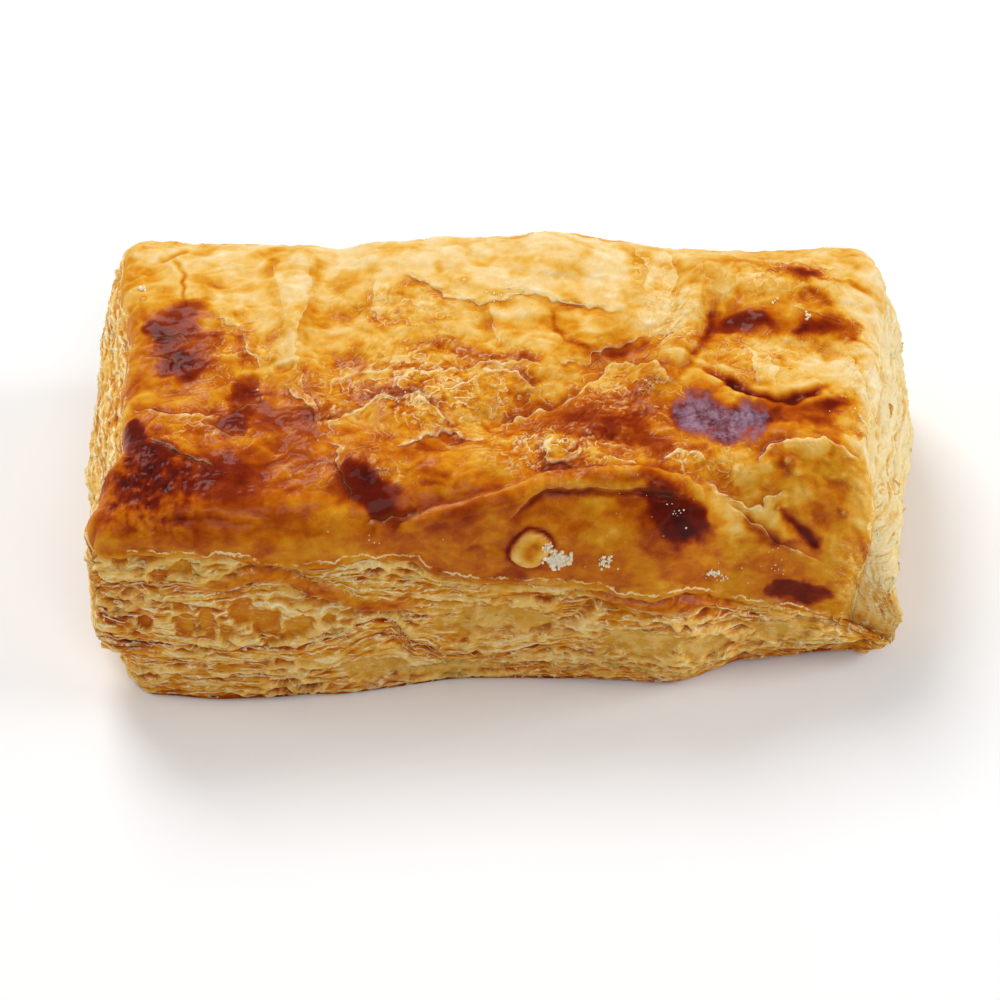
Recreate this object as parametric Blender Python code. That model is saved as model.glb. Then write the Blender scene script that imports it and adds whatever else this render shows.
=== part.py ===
"""Chicken puff: one baked parcel of puff pastry, as a single closed solid.

A glazed crust covers the top of the parcel and rolls down its front, most of all at the right,
and laminated plies show under the crust all round. Sizes are in millimetres and the mesh is
scaled to metres at the end. +X runs along the parcel, +Y to its back and +Z up.
"""

import math

import bmesh
import bpy
from mathutils import Vector, noise

MM = 0.001

# Driving sizes
HALF_LENGTH = 62.0
HALF_DEPTH = 31.8
CORNER_RADIUS = 4.2
END_HEIGHT = 35.0
CENTRE_RISE = 3.4

# Cells of the lattice along X and Y, and rows of cells up the wall for each ply
CELLS_X = 53
CELLS_Y = 27
CROWDING = 0.45
PLIES = 8
ROWS_PER_PLY = 3

# Plan outline of the belly, as (place along the side, how far it lies outside the plain box)
FRONT_BULGE = ((-62, 2.4), (-45, 3.6), (-28, 2.6), (-3, -0.6), (15, -0.4), (28, 0.8), (42, -3.4), (62, -5.0))
BACK_BULGE = ((-62, -1.8), (-30, -2.2), (5, 0.3), (35, -1.8), (62, -2.4))
LEFT_BULGE = ((-30, -2.5), (-15, -1.5), (0, -0.6), (18, -0.8), (30, -1.8))
RIGHT_BULGE = ((-30, -2.6), (-18, -1.6), (4, 1.2), (18, 0.6), (30, -1.4))

# Height of the crust's lip along the front and the back, and how wide the crust rolls over there
FRONT_LIP = (
    (-60, 32.5),
    (-40, 31.0),
    (-27, 27.6),
    (-19, 29.3),
    (-14, 28.0),
    (-8, 24.0),
    (-2, 22.4),
    (12, 21.8),
    (24, 20.2),
    (39, 14.6),
    (53, 8.5),
)
FRONT_ROLL = ((-60, 4.5), (-20, 5.5), (-8, 8.0), (12, 13.0), (34, 14.0), (60, 15.0))
BACK_LIP = ((-60, 29.5), (-40, 27.0), (-14, 21.0), (10, 23.5), (34, 20.0), (60, 27.5))
BACK_ROLL = ((-60, 6.5), (-14, 10.0), (10, 9.0), (34, 11.0), (60, 8.0))
ROLL_POWER = 2.3
END_ROLL = 4.0
END_DROP = 2.6

# How far the crust's edge and the foot lie inside the belly: left, right, front, back
LEFT_CRUST = ((-31, 0.4), (-25, 2.6), (-18, 5.8), (5, 6.6), (20, 4.2), (30, 2.4))
RIGHT_CRUST = ((-31, 6.4), (-22, 4.6), (-15, 6.4), (-5, 5.6), (6, 6.0), (17, 3.8), (30, 2.4))
FRONT_CRUST = ((-60, 1.8), (-45, 3.4), (-20, 3.0), (0, 1.6), (40, 1.2), (60, 1.6))
BACK_CRUST = 1.4
FOOT_INSET = (2.0, 2.4, 0.2, 2.0)
BELLY_SHARE = 0.42
LOWER_SHEET_SETBACK = 3.2

# The laminated wall: each ply is a rounded ledge between two grooves
PLY_PROFILE = ((0.0, -1.3), (0.3, 0.55), (0.75, 0.75))
PLY_SHARES = (0.0, 0.11, 0.22, 0.35, 0.46, 0.60, 0.70, 0.84, 1.0)
SEAM_PLY = 3
SEAM_WAVE = ((-62, 0.0), (-30, 0.0), (-19, 0.12), (-6, -0.10), (8, -0.04), (30, 0.05), (62, 0.0))
LIP_OVERHANG = 1.1
SEAM_REACH = 1.6
CRUST_PULL_POWER, FOOT_PULL_POWER = 2.2, 2.0
PLY_WAVES = ((13.0, 0.028, 4.0), (5.0, 0.016, 7.0))
LEDGE_SIZE, LEDGE_UNEVENNESS = 9.0, 0.8
SWELL_SIZE, SWELL = 15.0, 1.4
RAGGED_SIZE, RAGGED = 4.5, 0.6
FOOT_TUCK = 0.4

# The foot: a flat underside whose rim curls up, most at the front right corner
RIM_WIDTH = 4.0
RIM_LIFT = 0.9
CORNER_LIFT = 1.8
RIM_WAVE = 9.0
CORNER_START, CORNER_RUN = 20.0, 25.0

# Relief of the crust: ridges and furrows in plan, the flap's step, round swellings and wrinkles
VALLEY = ((-6, -14), (8, -10), (22, 2), (33, 9))
FOLD = ((32, 17), (30, 8), (24, -4))
LEFT_CREASE = ((-28, 24), (-30, 8), (-25, -12))
LEFT_FURROW = ((-23.5, 24), (-25.5, 8), (-20.5, -12))
FLAP_RIM = ((-16, -31.0), (-9, -28.2), (0, -25.9), (9, -23.4), (18, -22.1), (27, -23.2), (31.5, -25))
BLISTER_RIM = ((38, -21), (41.5, -16.9), (48.5, -16.4), (52, -18.5))
RIDGES = (
    # path, width, height
    (VALLEY, 4.2, -2.4),
    (FOLD, 3.0, 1.9),
    (LEFT_CREASE, 2.6, 0.7),
    (LEFT_FURROW, 3.0, -0.6),
    (FLAP_RIM, 1.5, 0.8),
    (BLISTER_RIM, 2.2, 0.6),
)
FLAP_STEP = 1.1
FLAP_STEP_WIDTH = 1.5
FLAP_END_WIDTH = 3.0
MOUNDS = (
    # centre x, centre y, half-width x, half-width y, height
    (-51.0, -22.0, 8.0, 8.0, 2.3),
    (-46.0, 6.0, 9.0, 9.0, 1.2),
    (-12.0, 19.0, 11.0, 9.0, 1.5),
    (9.0, 20.0, 9.0, 8.0, 2.0),
    (45.0, -18.0, 7.0, 5.0, 1.4),
    (46.0, 14.0, 10.0, 8.0, 1.2),
    (41.0, 2.0, 8.0, 4.0, -1.3),
    (-36.0, -6.0, 5.0, 8.0, -0.9),
    (-18.0, -21.0, 5.0, 4.0, 1.2),
    (26.3, -27.0, 4.5, 4.5, 1.1),
)
WRINKLES = (
    # wave length, stretch along X, height, seed
    (11.0, 1.4, 0.55, 3.0),
    (5.0, 1.6, 0.40, 9.0),
)
FRONT_RELIEF, BACK_RELIEF = 0.25, 0.1

CRUST_COLOUR = (0.62, 0.30, 0.06, 1.0)
CRUST_ROUGHNESS = 0.38


def clamp(value, low=0.0, high=1.0):
    return max(low, min(high, value))


def mix(start, end, share):
    return start + (end - start) * share


def along(stations, place):
    """The value at a place on a smooth curve through (place, value) stations."""
    if place <= stations[0][0]:
        return stations[0][1]
    for (place_a, value_a), (place_b, value_b) in zip(stations, stations[1:]):
        if place <= place_b:
            share = (place - place_a) / (place_b - place_a)
            return mix(value_a, value_b, share * share * (3 - 2 * share))
    return stations[-1][1]


def wobble(x, y, z, size):
    """Smooth noise of about -1 to 1, whose waves are about one size long."""
    return noise.noise(Vector((x, y, z)) / size)


def distance_to_path(x, y, path):
    point = Vector((x, y))
    best = math.inf
    for start, end in zip(path, path[1:]):
        a = Vector(start)
        run = Vector(end) - a
        share = clamp((point - a).dot(run) / run.length_squared)
        best = min(best, (point - a - run * share).length)
    return best


def ridge(x, y, path, width):
    """1 on the path, falling to 0 about one width away."""
    return math.exp(-((distance_to_path(x, y, path) / width) ** 2))


def crowd(share):
    """Moves lattice shares from -1 to 1 closer together near the ends, where the crust rolls over."""
    return mix(share, math.sin(share * math.pi / 2), CROWDING)


def outline(a, b):
    """Plan point of the belly for lattice shares a and b from -1 to 1, with rounded corners."""
    x, y = a * HALF_LENGTH, b * HALF_DEPTH
    inner_x = clamp(x, CORNER_RADIUS - HALF_LENGTH, HALF_LENGTH - CORNER_RADIUS)
    inner_y = clamp(y, CORNER_RADIUS - HALF_DEPTH, HALF_DEPTH - CORNER_RADIUS)
    corner_x, corner_y = x - inner_x, y - inner_y
    reach = math.hypot(corner_x, corner_y)
    if reach > 0:
        shrink = max(abs(corner_x), abs(corner_y)) / reach
        x, y = inner_x + corner_x * shrink, inner_y + corner_y * shrink
    right_share, back_share = (x / HALF_LENGTH + 1) / 2, (y / HALF_DEPTH + 1) / 2
    moved_x = x + mix(-along(LEFT_BULGE, y), along(RIGHT_BULGE, y), right_share)
    moved_y = y + mix(-along(FRONT_BULGE, x), along(BACK_BULGE, x), back_share)
    return moved_x, moved_y


def outward(a, b):
    """Plan direction that faces out of the wall at lattice shares a and b on the boundary."""
    x, y = a * HALF_LENGTH, b * HALF_DEPTH
    facing = Vector(
        (
            x - clamp(x, CORNER_RADIUS - HALF_LENGTH, HALF_LENGTH - CORNER_RADIUS),
            y - clamp(y, CORNER_RADIUS - HALF_DEPTH, HALF_DEPTH - CORNER_RADIUS),
        )
    )
    return facing.normalized()


def inset(x, y, insets, share):
    """Pulls a plan point towards the middle by a share of the four insets, left, right, front and back."""
    left, right, front, back = (value * share for value in insets)
    right_share = clamp((x / HALF_LENGTH + 1) / 2)
    back_share = clamp((y / HALF_DEPTH + 1) / 2)
    pull_x = mix(left, -right, right_share)
    pull_y = mix(front, -back, back_share)
    return x + pull_x, y + pull_y


def crust_inset(x, y):
    """How far the crust's edge lies inside the belly: left, right, front and back."""
    return along(LEFT_CRUST, y), along(RIGHT_CRUST, y), along(FRONT_CRUST, x), BACK_CRUST


def crust_point(a, b):
    """Plan point of the crust for lattice shares a and b."""
    x, y = outline(a, b)
    return inset(x, y, crust_inset(x, y), 1.0)


def roll(distance, width):
    """Share of the crust's height at a distance in from its edge: 0 at the edge, 1 past the roll."""
    share = clamp(distance / width)
    return (1 - (1 - share) ** ROLL_POWER) ** (1 / ROLL_POWER)


def on_flap(x, y):
    """1 on the raised flap of crust in front of its rim, 0 behind it and past its ends."""
    in_front = clamp((along(FLAP_RIM, x) - y) / FLAP_STEP_WIDTH + 0.5)
    left_end = clamp((x - FLAP_RIM[0][0]) / FLAP_END_WIDTH)
    right_end = clamp((FLAP_RIM[-1][0] - x) / FLAP_END_WIDTH + 1)
    return in_front * left_end * right_end


def crust_relief(x, y):
    """Folds, blisters and wrinkles of the crust, in millimetres above its dome."""
    height = FLAP_STEP * on_flap(x, y)
    for path, width, rise in RIDGES:
        height += rise * ridge(x, y, path, width)
    for centre_x, centre_y, half_x, half_y, rise in MOUNDS:
        far = ((x - centre_x) / half_x) ** 2 + ((y - centre_y) / half_y) ** 2
        height += rise * math.exp(-far)
    for size, stretch, rise, seed in WRINKLES:
        height += rise * wobble(x, y * stretch, seed, size)
    return height


def crust_height(a, b):
    """Height of the crust over lattice shares a and b, from the lips up to the relief."""
    x, y = crust_point(a, b)
    front_y, back_y = crust_point(a, -1)[1], crust_point(a, 1)[1]
    left_x, right_x = crust_point(-1, b)[0], crust_point(1, b)[0]
    bulge = max(0.0, 1 - (x / HALF_LENGTH) ** 4) * max(0.0, 1 - (y / HALF_DEPTH) ** 4)
    dome = END_HEIGHT + CENTRE_RISE * bulge
    front = roll(y - front_y, along(FRONT_ROLL, x))
    back = roll(back_y - y, along(BACK_ROLL, x))
    ends = roll(x - left_x, END_ROLL) * roll(right_x - x, END_ROLL)
    height = dome
    height -= (dome - along(FRONT_LIP, x)) * (1 - front)
    height -= (dome - along(BACK_LIP, x)) * (1 - back)
    height -= END_DROP * (1 - ends)
    fade = min(1.0, FRONT_RELIEF + front) * min(1.0, BACK_RELIEF + back * ends)
    return height + crust_relief(x, y) * fade


def foot_height(a, b):
    """Height of the underside: flat, with a rim that curls up."""
    x, y = outline(a, b)
    edge = min(HALF_LENGTH * (1 - abs(a)), HALF_DEPTH * (1 - abs(b)))
    curl = clamp(1 - edge / RIM_WIDTH) ** 2
    corner = clamp((x - CORNER_START) / CORNER_RUN) * clamp(-y / HALF_DEPTH)
    ripple = 0.5 + 0.5 * wobble(x, y, 1.0, RIM_WAVE)
    return curl * (RIM_LIFT * ripple + CORNER_LIFT * corner)


def wall_point(a, b, row):
    """Point of the laminated wall over boundary shares a and b, on a row of the lattice."""
    ply, step = divmod(row, ROWS_PER_PLY)
    belly_x, belly_y = outline(a, b)
    face = outward(a, b)
    top, foot = crust_height(a, b), foot_height(a, b)
    if ply == PLIES:
        return Vector((*crust_point(a, b), top))
    within, relief = PLY_PROFILE[step]
    seam = along(SEAM_WAVE, belly_x) * clamp(-face.y)
    share = mix(PLY_SHARES[ply], PLY_SHARES[ply + 1], within)
    share += seam * math.exp(-(((ply + within - SEAM_PLY) / SEAM_REACH) ** 2))
    wave = sum(rise * wobble(belly_x, belly_y, ply * seed, size) for size, rise, seed in PLY_WAVES)
    share = clamp(share + wave * math.sin(math.pi * share))
    if row == 0:
        share = 0.0
    if share > BELLY_SHARE:
        pull = ((share - BELLY_SHARE) / (1 - BELLY_SHARE)) ** CRUST_PULL_POWER
        x, y = inset(belly_x, belly_y, crust_inset(belly_x, belly_y), pull)
    else:
        pull = ((BELLY_SHARE - share) / BELLY_SHARE) ** FOOT_PULL_POWER
        x, y = inset(belly_x, belly_y, FOOT_INSET, pull)
    if ply < SEAM_PLY:
        reach_in = LOWER_SHEET_SETBACK * clamp(-x / 20 - 1)
        x, y = inset(x, y, (reach_in, 0.0, 0.0, 0.0), 1.0)
    uneven = 1.0 + LEDGE_UNEVENNESS * wobble(belly_x, belly_y, 20 + ply * 5.0, LEDGE_SIZE)
    reach = relief * uneven + SWELL * wobble(belly_x, belly_y, 50 + ply * 6.0, SWELL_SIZE)
    reach += RAGGED * wobble(belly_x, belly_y, 80 + row * 3.0, RAGGED_SIZE)
    if row == 0:
        reach = -FOOT_TUCK
    if row == PLIES * ROWS_PER_PLY - 1:
        reach -= LIP_OVERHANG
    return Vector((x + face.x * reach, y + face.y * reach, mix(foot, top, share)))


def lattice_box():
    """A closed box whose faces are cut into the lattice's cells, with every side 2 long."""
    bm = bmesh.new()
    bmesh.ops.create_cube(bm, size=2.0)
    for axis, cells in ((0, CELLS_X), (1, CELLS_Y), (2, PLIES * ROWS_PER_PLY)):
        edges = [e for e in bm.edges if abs(e.verts[0].co[axis] - e.verts[1].co[axis]) > 1.5]
        bmesh.ops.subdivide_edges(bm, edges=edges, cuts=cells - 1)
    return bm


def shape_puff(bm):
    """Moves the lattice's points to the crust, the laminated wall and the foot."""
    rows = PLIES * ROWS_PER_PLY
    for vert in bm.verts:
        a, b, c = crowd(vert.co.x), crowd(vert.co.y), vert.co.z
        on_wall = max(abs(a), abs(b)) > 1 - 1e-5
        if on_wall:
            vert.co = wall_point(a, b, round((c + 1) / 2 * rows))
        elif c > 0:
            vert.co = Vector((*crust_point(a, b), crust_height(a, b)))
        else:
            vert.co = Vector((*inset(*outline(a, b), FOOT_INSET, 1.0), foot_height(a, b)))


def centre_on_foot(bm):
    """Puts the origin under the middle of the bounding box, on the lowest face."""
    low = [min(v.co[axis] for v in bm.verts) for axis in range(3)]
    high = [max(v.co[axis] for v in bm.verts) for axis in range(3)]
    shift = Vector((-(low[0] + high[0]) / 2, -(low[1] + high[1]) / 2, -low[2]))
    bmesh.ops.translate(bm, verts=bm.verts, vec=shift)


def flatten_foot(bm):
    """Merges the level faces of the underside into one flat face."""
    level = [f for f in bm.faces if all(v.co.z < 1e-4 for v in f.verts)]
    bmesh.ops.dissolve_faces(bm, faces=level)


def pastry_material():
    material = bpy.data.materials.new("baked_pastry")
    material.use_nodes = True
    shader = material.node_tree.nodes["Principled BSDF"]
    shader.inputs["Base Color"].default_value = CRUST_COLOUR
    shader.inputs["Roughness"].default_value = CRUST_ROUGHNESS
    shader.inputs["Metallic"].default_value = 0.0
    return material


def make_puff():
    bm = lattice_box()
    shape_puff(bm)
    centre_on_foot(bm)
    flatten_foot(bm)
    bmesh.ops.scale(bm, vec=(MM, MM, MM), verts=bm.verts)
    mesh = bpy.data.meshes.new("chicken_puff")
    bm.to_mesh(mesh)
    bm.free()
    mesh.shade_smooth()
    mesh.set_sharp_from_angle(angle=math.radians(50))
    mesh.materials.append(pastry_material())
    puff = bpy.data.objects.new("chicken_puff", mesh)
    bpy.context.scene.collection.objects.link(puff)
    return puff


def main():
    for obj in list(bpy.data.objects):
        bpy.data.objects.remove(obj)
    make_puff()


main()
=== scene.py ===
# Chicken puff: the looks of one baked parcel of puff pastry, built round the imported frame.
# Sizes and places are millimetres in the pastry's own frame: x along the parcel, y to its back, z up.
# On the crust a place is (x, s), where s is measured over the crust's surface from its middle line.

import math

import bmesh
import bpy
import numpy as np
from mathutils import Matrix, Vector, noise


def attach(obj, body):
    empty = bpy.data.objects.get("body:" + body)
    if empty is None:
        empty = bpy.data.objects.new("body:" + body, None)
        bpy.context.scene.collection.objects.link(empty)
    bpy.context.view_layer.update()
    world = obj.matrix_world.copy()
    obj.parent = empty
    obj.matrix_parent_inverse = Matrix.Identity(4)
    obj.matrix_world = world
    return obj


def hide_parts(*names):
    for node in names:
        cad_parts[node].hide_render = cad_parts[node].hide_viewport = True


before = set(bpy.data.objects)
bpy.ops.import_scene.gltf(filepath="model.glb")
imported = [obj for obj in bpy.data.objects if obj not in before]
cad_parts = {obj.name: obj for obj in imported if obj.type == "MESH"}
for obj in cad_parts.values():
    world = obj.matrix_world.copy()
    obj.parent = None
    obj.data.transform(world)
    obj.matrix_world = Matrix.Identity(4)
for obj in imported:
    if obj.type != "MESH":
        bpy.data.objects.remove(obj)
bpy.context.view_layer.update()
print("Frame loaded")

# The parcel's form, the same as the solid's
parcel = {
    "middle": (1.157, -1.435),  # the pastry's own place that lies over the frame's origin
    "halfLength": 62.0,
    "halfDepth": 31.8,
    "cornerRadius": 4.2,
    "endHeight": 35.0,
    "centreRise": 3.4,
    "crowding": 0.45,
    "frontBulge": ((-62, 2.4), (-45, 3.6), (-28, 2.6), (-3, -0.6), (15, -0.4), (28, 0.8), (42, -3.4),
     (62, -5.0)),
    "backBulge": ((-62, -1.8), (-30, -2.2), (5, 0.3), (35, -1.8), (62, -2.4)),
    "leftBulge": ((-30, -2.5), (-15, -1.5), (0, -0.6), (18, -0.8), (30, -1.8)),
    "rightBulge": ((-30, -2.6), (-18, -1.6), (4, 1.2), (18, 0.6), (30, -1.4)),
    "frontLip": ((-60, 32.5), (-40, 31.0), (-27, 27.6), (-19, 29.3), (-14, 28.0), (-8, 24.0), (-2, 22.4),
                 (12, 21.8), (24, 20.2), (39, 14.6), (53, 8.5)),
    "frontRoll": ((-60, 4.5), (-20, 5.5), (-8, 8.0), (12, 13.0), (34, 14.0), (60, 15.0)),
    "backLip": ((-60, 29.5), (-40, 27.0), (-14, 21.0), (10, 23.5), (34, 20.0), (60, 27.5)),
    "backRoll": ((-60, 6.5), (-14, 10.0), (10, 9.0), (34, 11.0), (60, 8.0)),
    "rollPower": 2.3,
    "endRoll": 4.0,
    "endDrop": 2.6,
    "leftCrust": ((-31, 0.4), (-25, 2.6), (-18, 5.8), (5, 6.6), (20, 4.2), (30, 2.4)),
    "rightCrust": ((-31, 6.4), (-22, 4.6), (-15, 6.4), (-5, 5.6), (6, 6.0), (17, 3.8), (30, 2.4)),
    "frontCrust": ((-60, 1.8), (-45, 3.4), (-20, 3.0), (0, 1.6), (40, 1.2), (60, 1.6)),
    "backCrust": 1.4,
    "footInset": (2.0, 2.4, 0.2, 2.0),
    "bellyShare": 0.42,
    "lowerSetback": 3.2,
}


def clamp(value, low=0.0, high=1.0):
    return np.clip(value, low, high)


def mix(start, end, share):
    return start + (end - start) * share


def smooth(value, low, high):
    share = clamp((value - low) / (high - low))
    return share * share * (3 - 2 * share)


def hump(value, middle, width):
    # a smooth bump, 1 at its middle
    return np.exp(-((value - middle) / width) ** 2)


def tapered(way, share):
    # fades out over a share of a path at each of its ends
    return smooth(way, 0, share) * smooth(1 - way, 0, share)


def along(stations, place):
    # the value at a place on a smooth curve through (place, value) stations
    places, values = np.array(stations, float).T
    index = np.clip(np.searchsorted(places, place) - 1, 0, len(places) - 2)
    share = clamp((place - places[index]) / (places[index + 1] - places[index]))
    return mix(values[index], values[index + 1], share * share * (3 - 2 * share))


def wobble(x, y, z, size):
    # the solid's own noise, waves of about one size
    x, y, z = np.broadcast_arrays(x, y, z)
    values = [noise.noise(Vector(p)) for p in zip((x / size).flat, (y / size).flat, (z / size).flat)]
    return np.array(values).reshape(x.shape)


def randomAt(corners, seed):
    # a repeatable number from 0 to 1 for each whole-number cell
    mask = np.uint64(0xFFFFFFFF)
    whole = corners.astype(np.int64).astype(np.uint64)
    mixed = (whole[..., 0] * np.uint64(73856093)) ^ (whole[..., 1] * np.uint64(19349663))
    mixed = (mixed ^ (whole[..., 2] * np.uint64(83492791))) + np.uint64((seed + 1) * 40503977)
    mixed = mixed & mask
    for shift, factor in ((15, 2246822519), (13, 3266489917), (16, 668265263)):
        mixed = ((mixed ^ (mixed >> np.uint64(shift))) * np.uint64(factor)) & mask
    return (mixed ^ (mixed >> np.uint64(14))).astype(float) / 4294967295.0


def ripple(points, size, seed=0):
    # smooth noise from about -1 to 1 at rows of points; size may be one number or one for each axis
    scaled = points / np.asarray(size, float)
    base = np.floor(scaled)
    part = scaled - base
    ease = part ** 3 * (part * (part * 6 - 15) + 10)
    total = np.zeros(points.shape[:-1])
    for corner in np.ndindex(2, 2, 2):
        offset = np.array(corner, float)
        weight = np.prod(np.where(offset > 0, ease, 1 - ease), axis=-1)
        slopes = [randomAt(base + offset, seed * 3 + k) - 0.5 for k in range(3)]
        total += weight * sum(slopes[k] * (part[..., k] - offset[k]) for k in range(3))
    return total * 3.2


def ripples(points, size, seed=0, octaves=3, fade=0.5):
    # noise at several sizes, each half as large as the last
    total = np.zeros(points.shape[:-1])
    for octave in range(octaves):
        total += fade ** octave * ripple(points, np.asarray(size, float) / 2 ** octave, seed + 11 * octave)
    return total


def cells(points, size, seed=0):
    # random cells: distance to the cell's edge (0 at the edge, up to about 0.5) and a number for each cell
    scaled = points / np.asarray(size, float)
    base = np.floor(scaled)
    nearest = np.full(points.shape[:-1], 9.0)
    second = np.full(points.shape[:-1], 9.0)
    label = np.zeros(points.shape[:-1])
    for corner in np.ndindex(3, 3, 3):
        cell = base + np.array(corner, float) - 1
        seat = [cell[..., k] + 0.1 + 0.8 * randomAt(cell, seed * 3 + k) for k in range(3)]
        far = np.sqrt(sum((seat[k] - scaled[..., k]) ** 2 for k in range(3)))
        closer = far < nearest
        second = np.where(closer, nearest, np.minimum(second, far))
        label = np.where(closer, randomAt(cell, seed * 3 + 5), label)
        nearest = np.where(closer, far, nearest)
    return (second - nearest) / 2, label


def blurred(values, reach):
    # a soft average over a grid of values; reach is in cells
    for axis in (0, 0, 1, 1):
        edges = [(reach + 1, reach) if axis == k else (0, 0) for k in (0, 1)]
        total = np.cumsum(np.pad(values, edges, mode="edge"), axis=axis)
        count = values.shape[axis]
        ahead = np.take(total, np.arange(count) + 2 * reach + 1, axis=axis)
        values = (ahead - np.take(total, np.arange(count), axis=axis)) / (2 * reach + 1)
    return values


def toPath(path, x, s):
    # distance to a path, the signed distance (positive on its left) and the share of the way along it
    best = np.full(x.shape, 1e9)
    side = np.zeros(x.shape)
    place = np.zeros(x.shape)
    lengths = [math.dist(a, b) for a, b in zip(path, path[1:])]
    whole = sum(lengths)
    start = 0.0
    for (ax, ay), (bx, by), length in zip(path, path[1:], lengths):
        dx, dy = (bx - ax) / length, (by - ay) / length
        run = clamp((x - ax) * dx + (s - ay) * dy, 0, length)
        offX, offY = x - ax - run * dx, s - ay - run * dy
        far = np.hypot(offX, offY)
        closer = far < best
        best = np.where(closer, far, best)
        side = np.where(closer, dx * offY - dy * offX, side)
        place = np.where(closer, (start + run) / whole, place)
        start += length
    return best, np.sign(side) * best, place


def toSpot(spot, x, s):
    # scaled distance to a spot: 0 at its middle and 1 at its edge; a fifth number turns it, in degrees
    centreX, centreS, halfX, halfS, *turn = spot
    angle = math.radians(sum(turn))
    cosine, sine = math.cos(angle), math.sin(angle)
    dx, ds = x - centreX, s - centreS
    return np.hypot((dx * cosine + ds * sine) / halfX, (ds * cosine - dx * sine) / halfS)


# The form of the solid, over shares a and b from -1 to 1 along and across the parcel
def bellyPoint(a, b):
    halfLength, halfDepth, radius = parcel["halfLength"], parcel["halfDepth"], parcel["cornerRadius"]
    x, y = a * halfLength, b * halfDepth
    innerX = clamp(x, radius - halfLength, halfLength - radius)
    innerY = clamp(y, radius - halfDepth, halfDepth - radius)
    cornerX, cornerY = x - innerX, y - innerY
    reach = np.maximum(np.hypot(cornerX, cornerY), 1e-9)
    shrink = np.where(reach > 1e-8, np.maximum(abs(cornerX), abs(cornerY)) / reach, 1.0)
    x, y = innerX + cornerX * shrink, innerY + cornerY * shrink
    rightShare, backShare = (x / halfLength + 1) / 2, (y / halfDepth + 1) / 2
    movedX = x + mix(-along(parcel["leftBulge"], y), along(parcel["rightBulge"], y), rightShare)
    movedY = y + mix(-along(parcel["frontBulge"], x), along(parcel["backBulge"], x), backShare)
    return movedX, movedY


def outward(a, b):
    halfLength, halfDepth, radius = parcel["halfLength"], parcel["halfDepth"], parcel["cornerRadius"]
    x, y = a * halfLength, b * halfDepth
    faceX = x - clamp(x, radius - halfLength, halfLength - radius)
    faceY = y - clamp(y, radius - halfDepth, halfDepth - radius)
    reach = np.maximum(np.hypot(faceX, faceY), 1e-9)
    return faceX / reach, faceY / reach


def inset(x, y, insets, share):
    left, right, front, back = (value * share for value in insets)
    rightShare = clamp((x / parcel["halfLength"] + 1) / 2)
    backShare = clamp((y / parcel["halfDepth"] + 1) / 2)
    return x + mix(left, -right, rightShare), y + mix(front, -back, backShare)


def crustInset(x, y):
    return (along(parcel["leftCrust"], y), along(parcel["rightCrust"], y), along(parcel["frontCrust"], x),
            parcel["backCrust"])


def crustPoint(a, b):
    x, y = bellyPoint(a, b)
    return inset(x, y, crustInset(x, y), 1.0)


def roll(distance, width):
    share = clamp(distance / width)
    return (1 - (1 - share) ** parcel["rollPower"]) ** (1 / parcel["rollPower"])


# The crust's folds that the solid has too: path, width, height, and the flap's rim at the front
relief = {
    "ridges": (
        (((-6, -14), (8, -10), (22, 2), (33, 9)), 4.2, -2.4),  # valley
        (((32, 17), (30, 8), (24, -4)), 3.0, 1.9),  # fold
        (((-28, 24), (-30, 8), (-25, -12)), 2.6, 0.7),  # left crease
        (((-23.5, 24), (-25.5, 8), (-20.5, -12)), 3.0, -0.6),  # furrow beside it
        (((-16, -31.0), (-9, -28.2), (0, -25.9), (9, -23.4), (18, -22.1), (27, -23.2),
         (31.5, -25)), 1.5, 0.8),
        (((38, -21), (41.5, -16.9), (48.5, -16.4), (52, -18.5)), 2.2, 0.6),  # blister
    ),
    "flapRim": ((-16, -31.0), (-9, -28.2), (0, -25.9), (9, -23.4), (18, -22.1), (27, -23.2), (31.5, -25)),
    "flapStep": 1.1,
    "mounds": (
        (-51.0, -22.0, 8.0, 8.0, 2.3), (-46.0, 6.0, 9.0, 9.0, 1.2), (-12.0, 19.0, 11.0, 9.0, 1.5),
        (9.0, 20.0, 9.0, 8.0, 2.0), (45.0, -18.0, 7.0, 5.0, 1.4), (46.0, 14.0, 10.0, 8.0, 1.2),
        (41.0, 2.0, 8.0, 4.0, -1.3), (-36.0, -6.0, 5.0, 8.0, -0.9), (-18.0, -21.0, 5.0, 4.0, 1.2),
        (26.3, -27.0, 4.5, 4.5, 1.1),
    ),
    "wrinkles": ((11.0, 1.4, 0.55, 3.0), (5.0, 1.6, 0.40, 9.0)),
    "keptAtFront": 0.25,
    "keptAtBack": 0.1,
}


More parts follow.
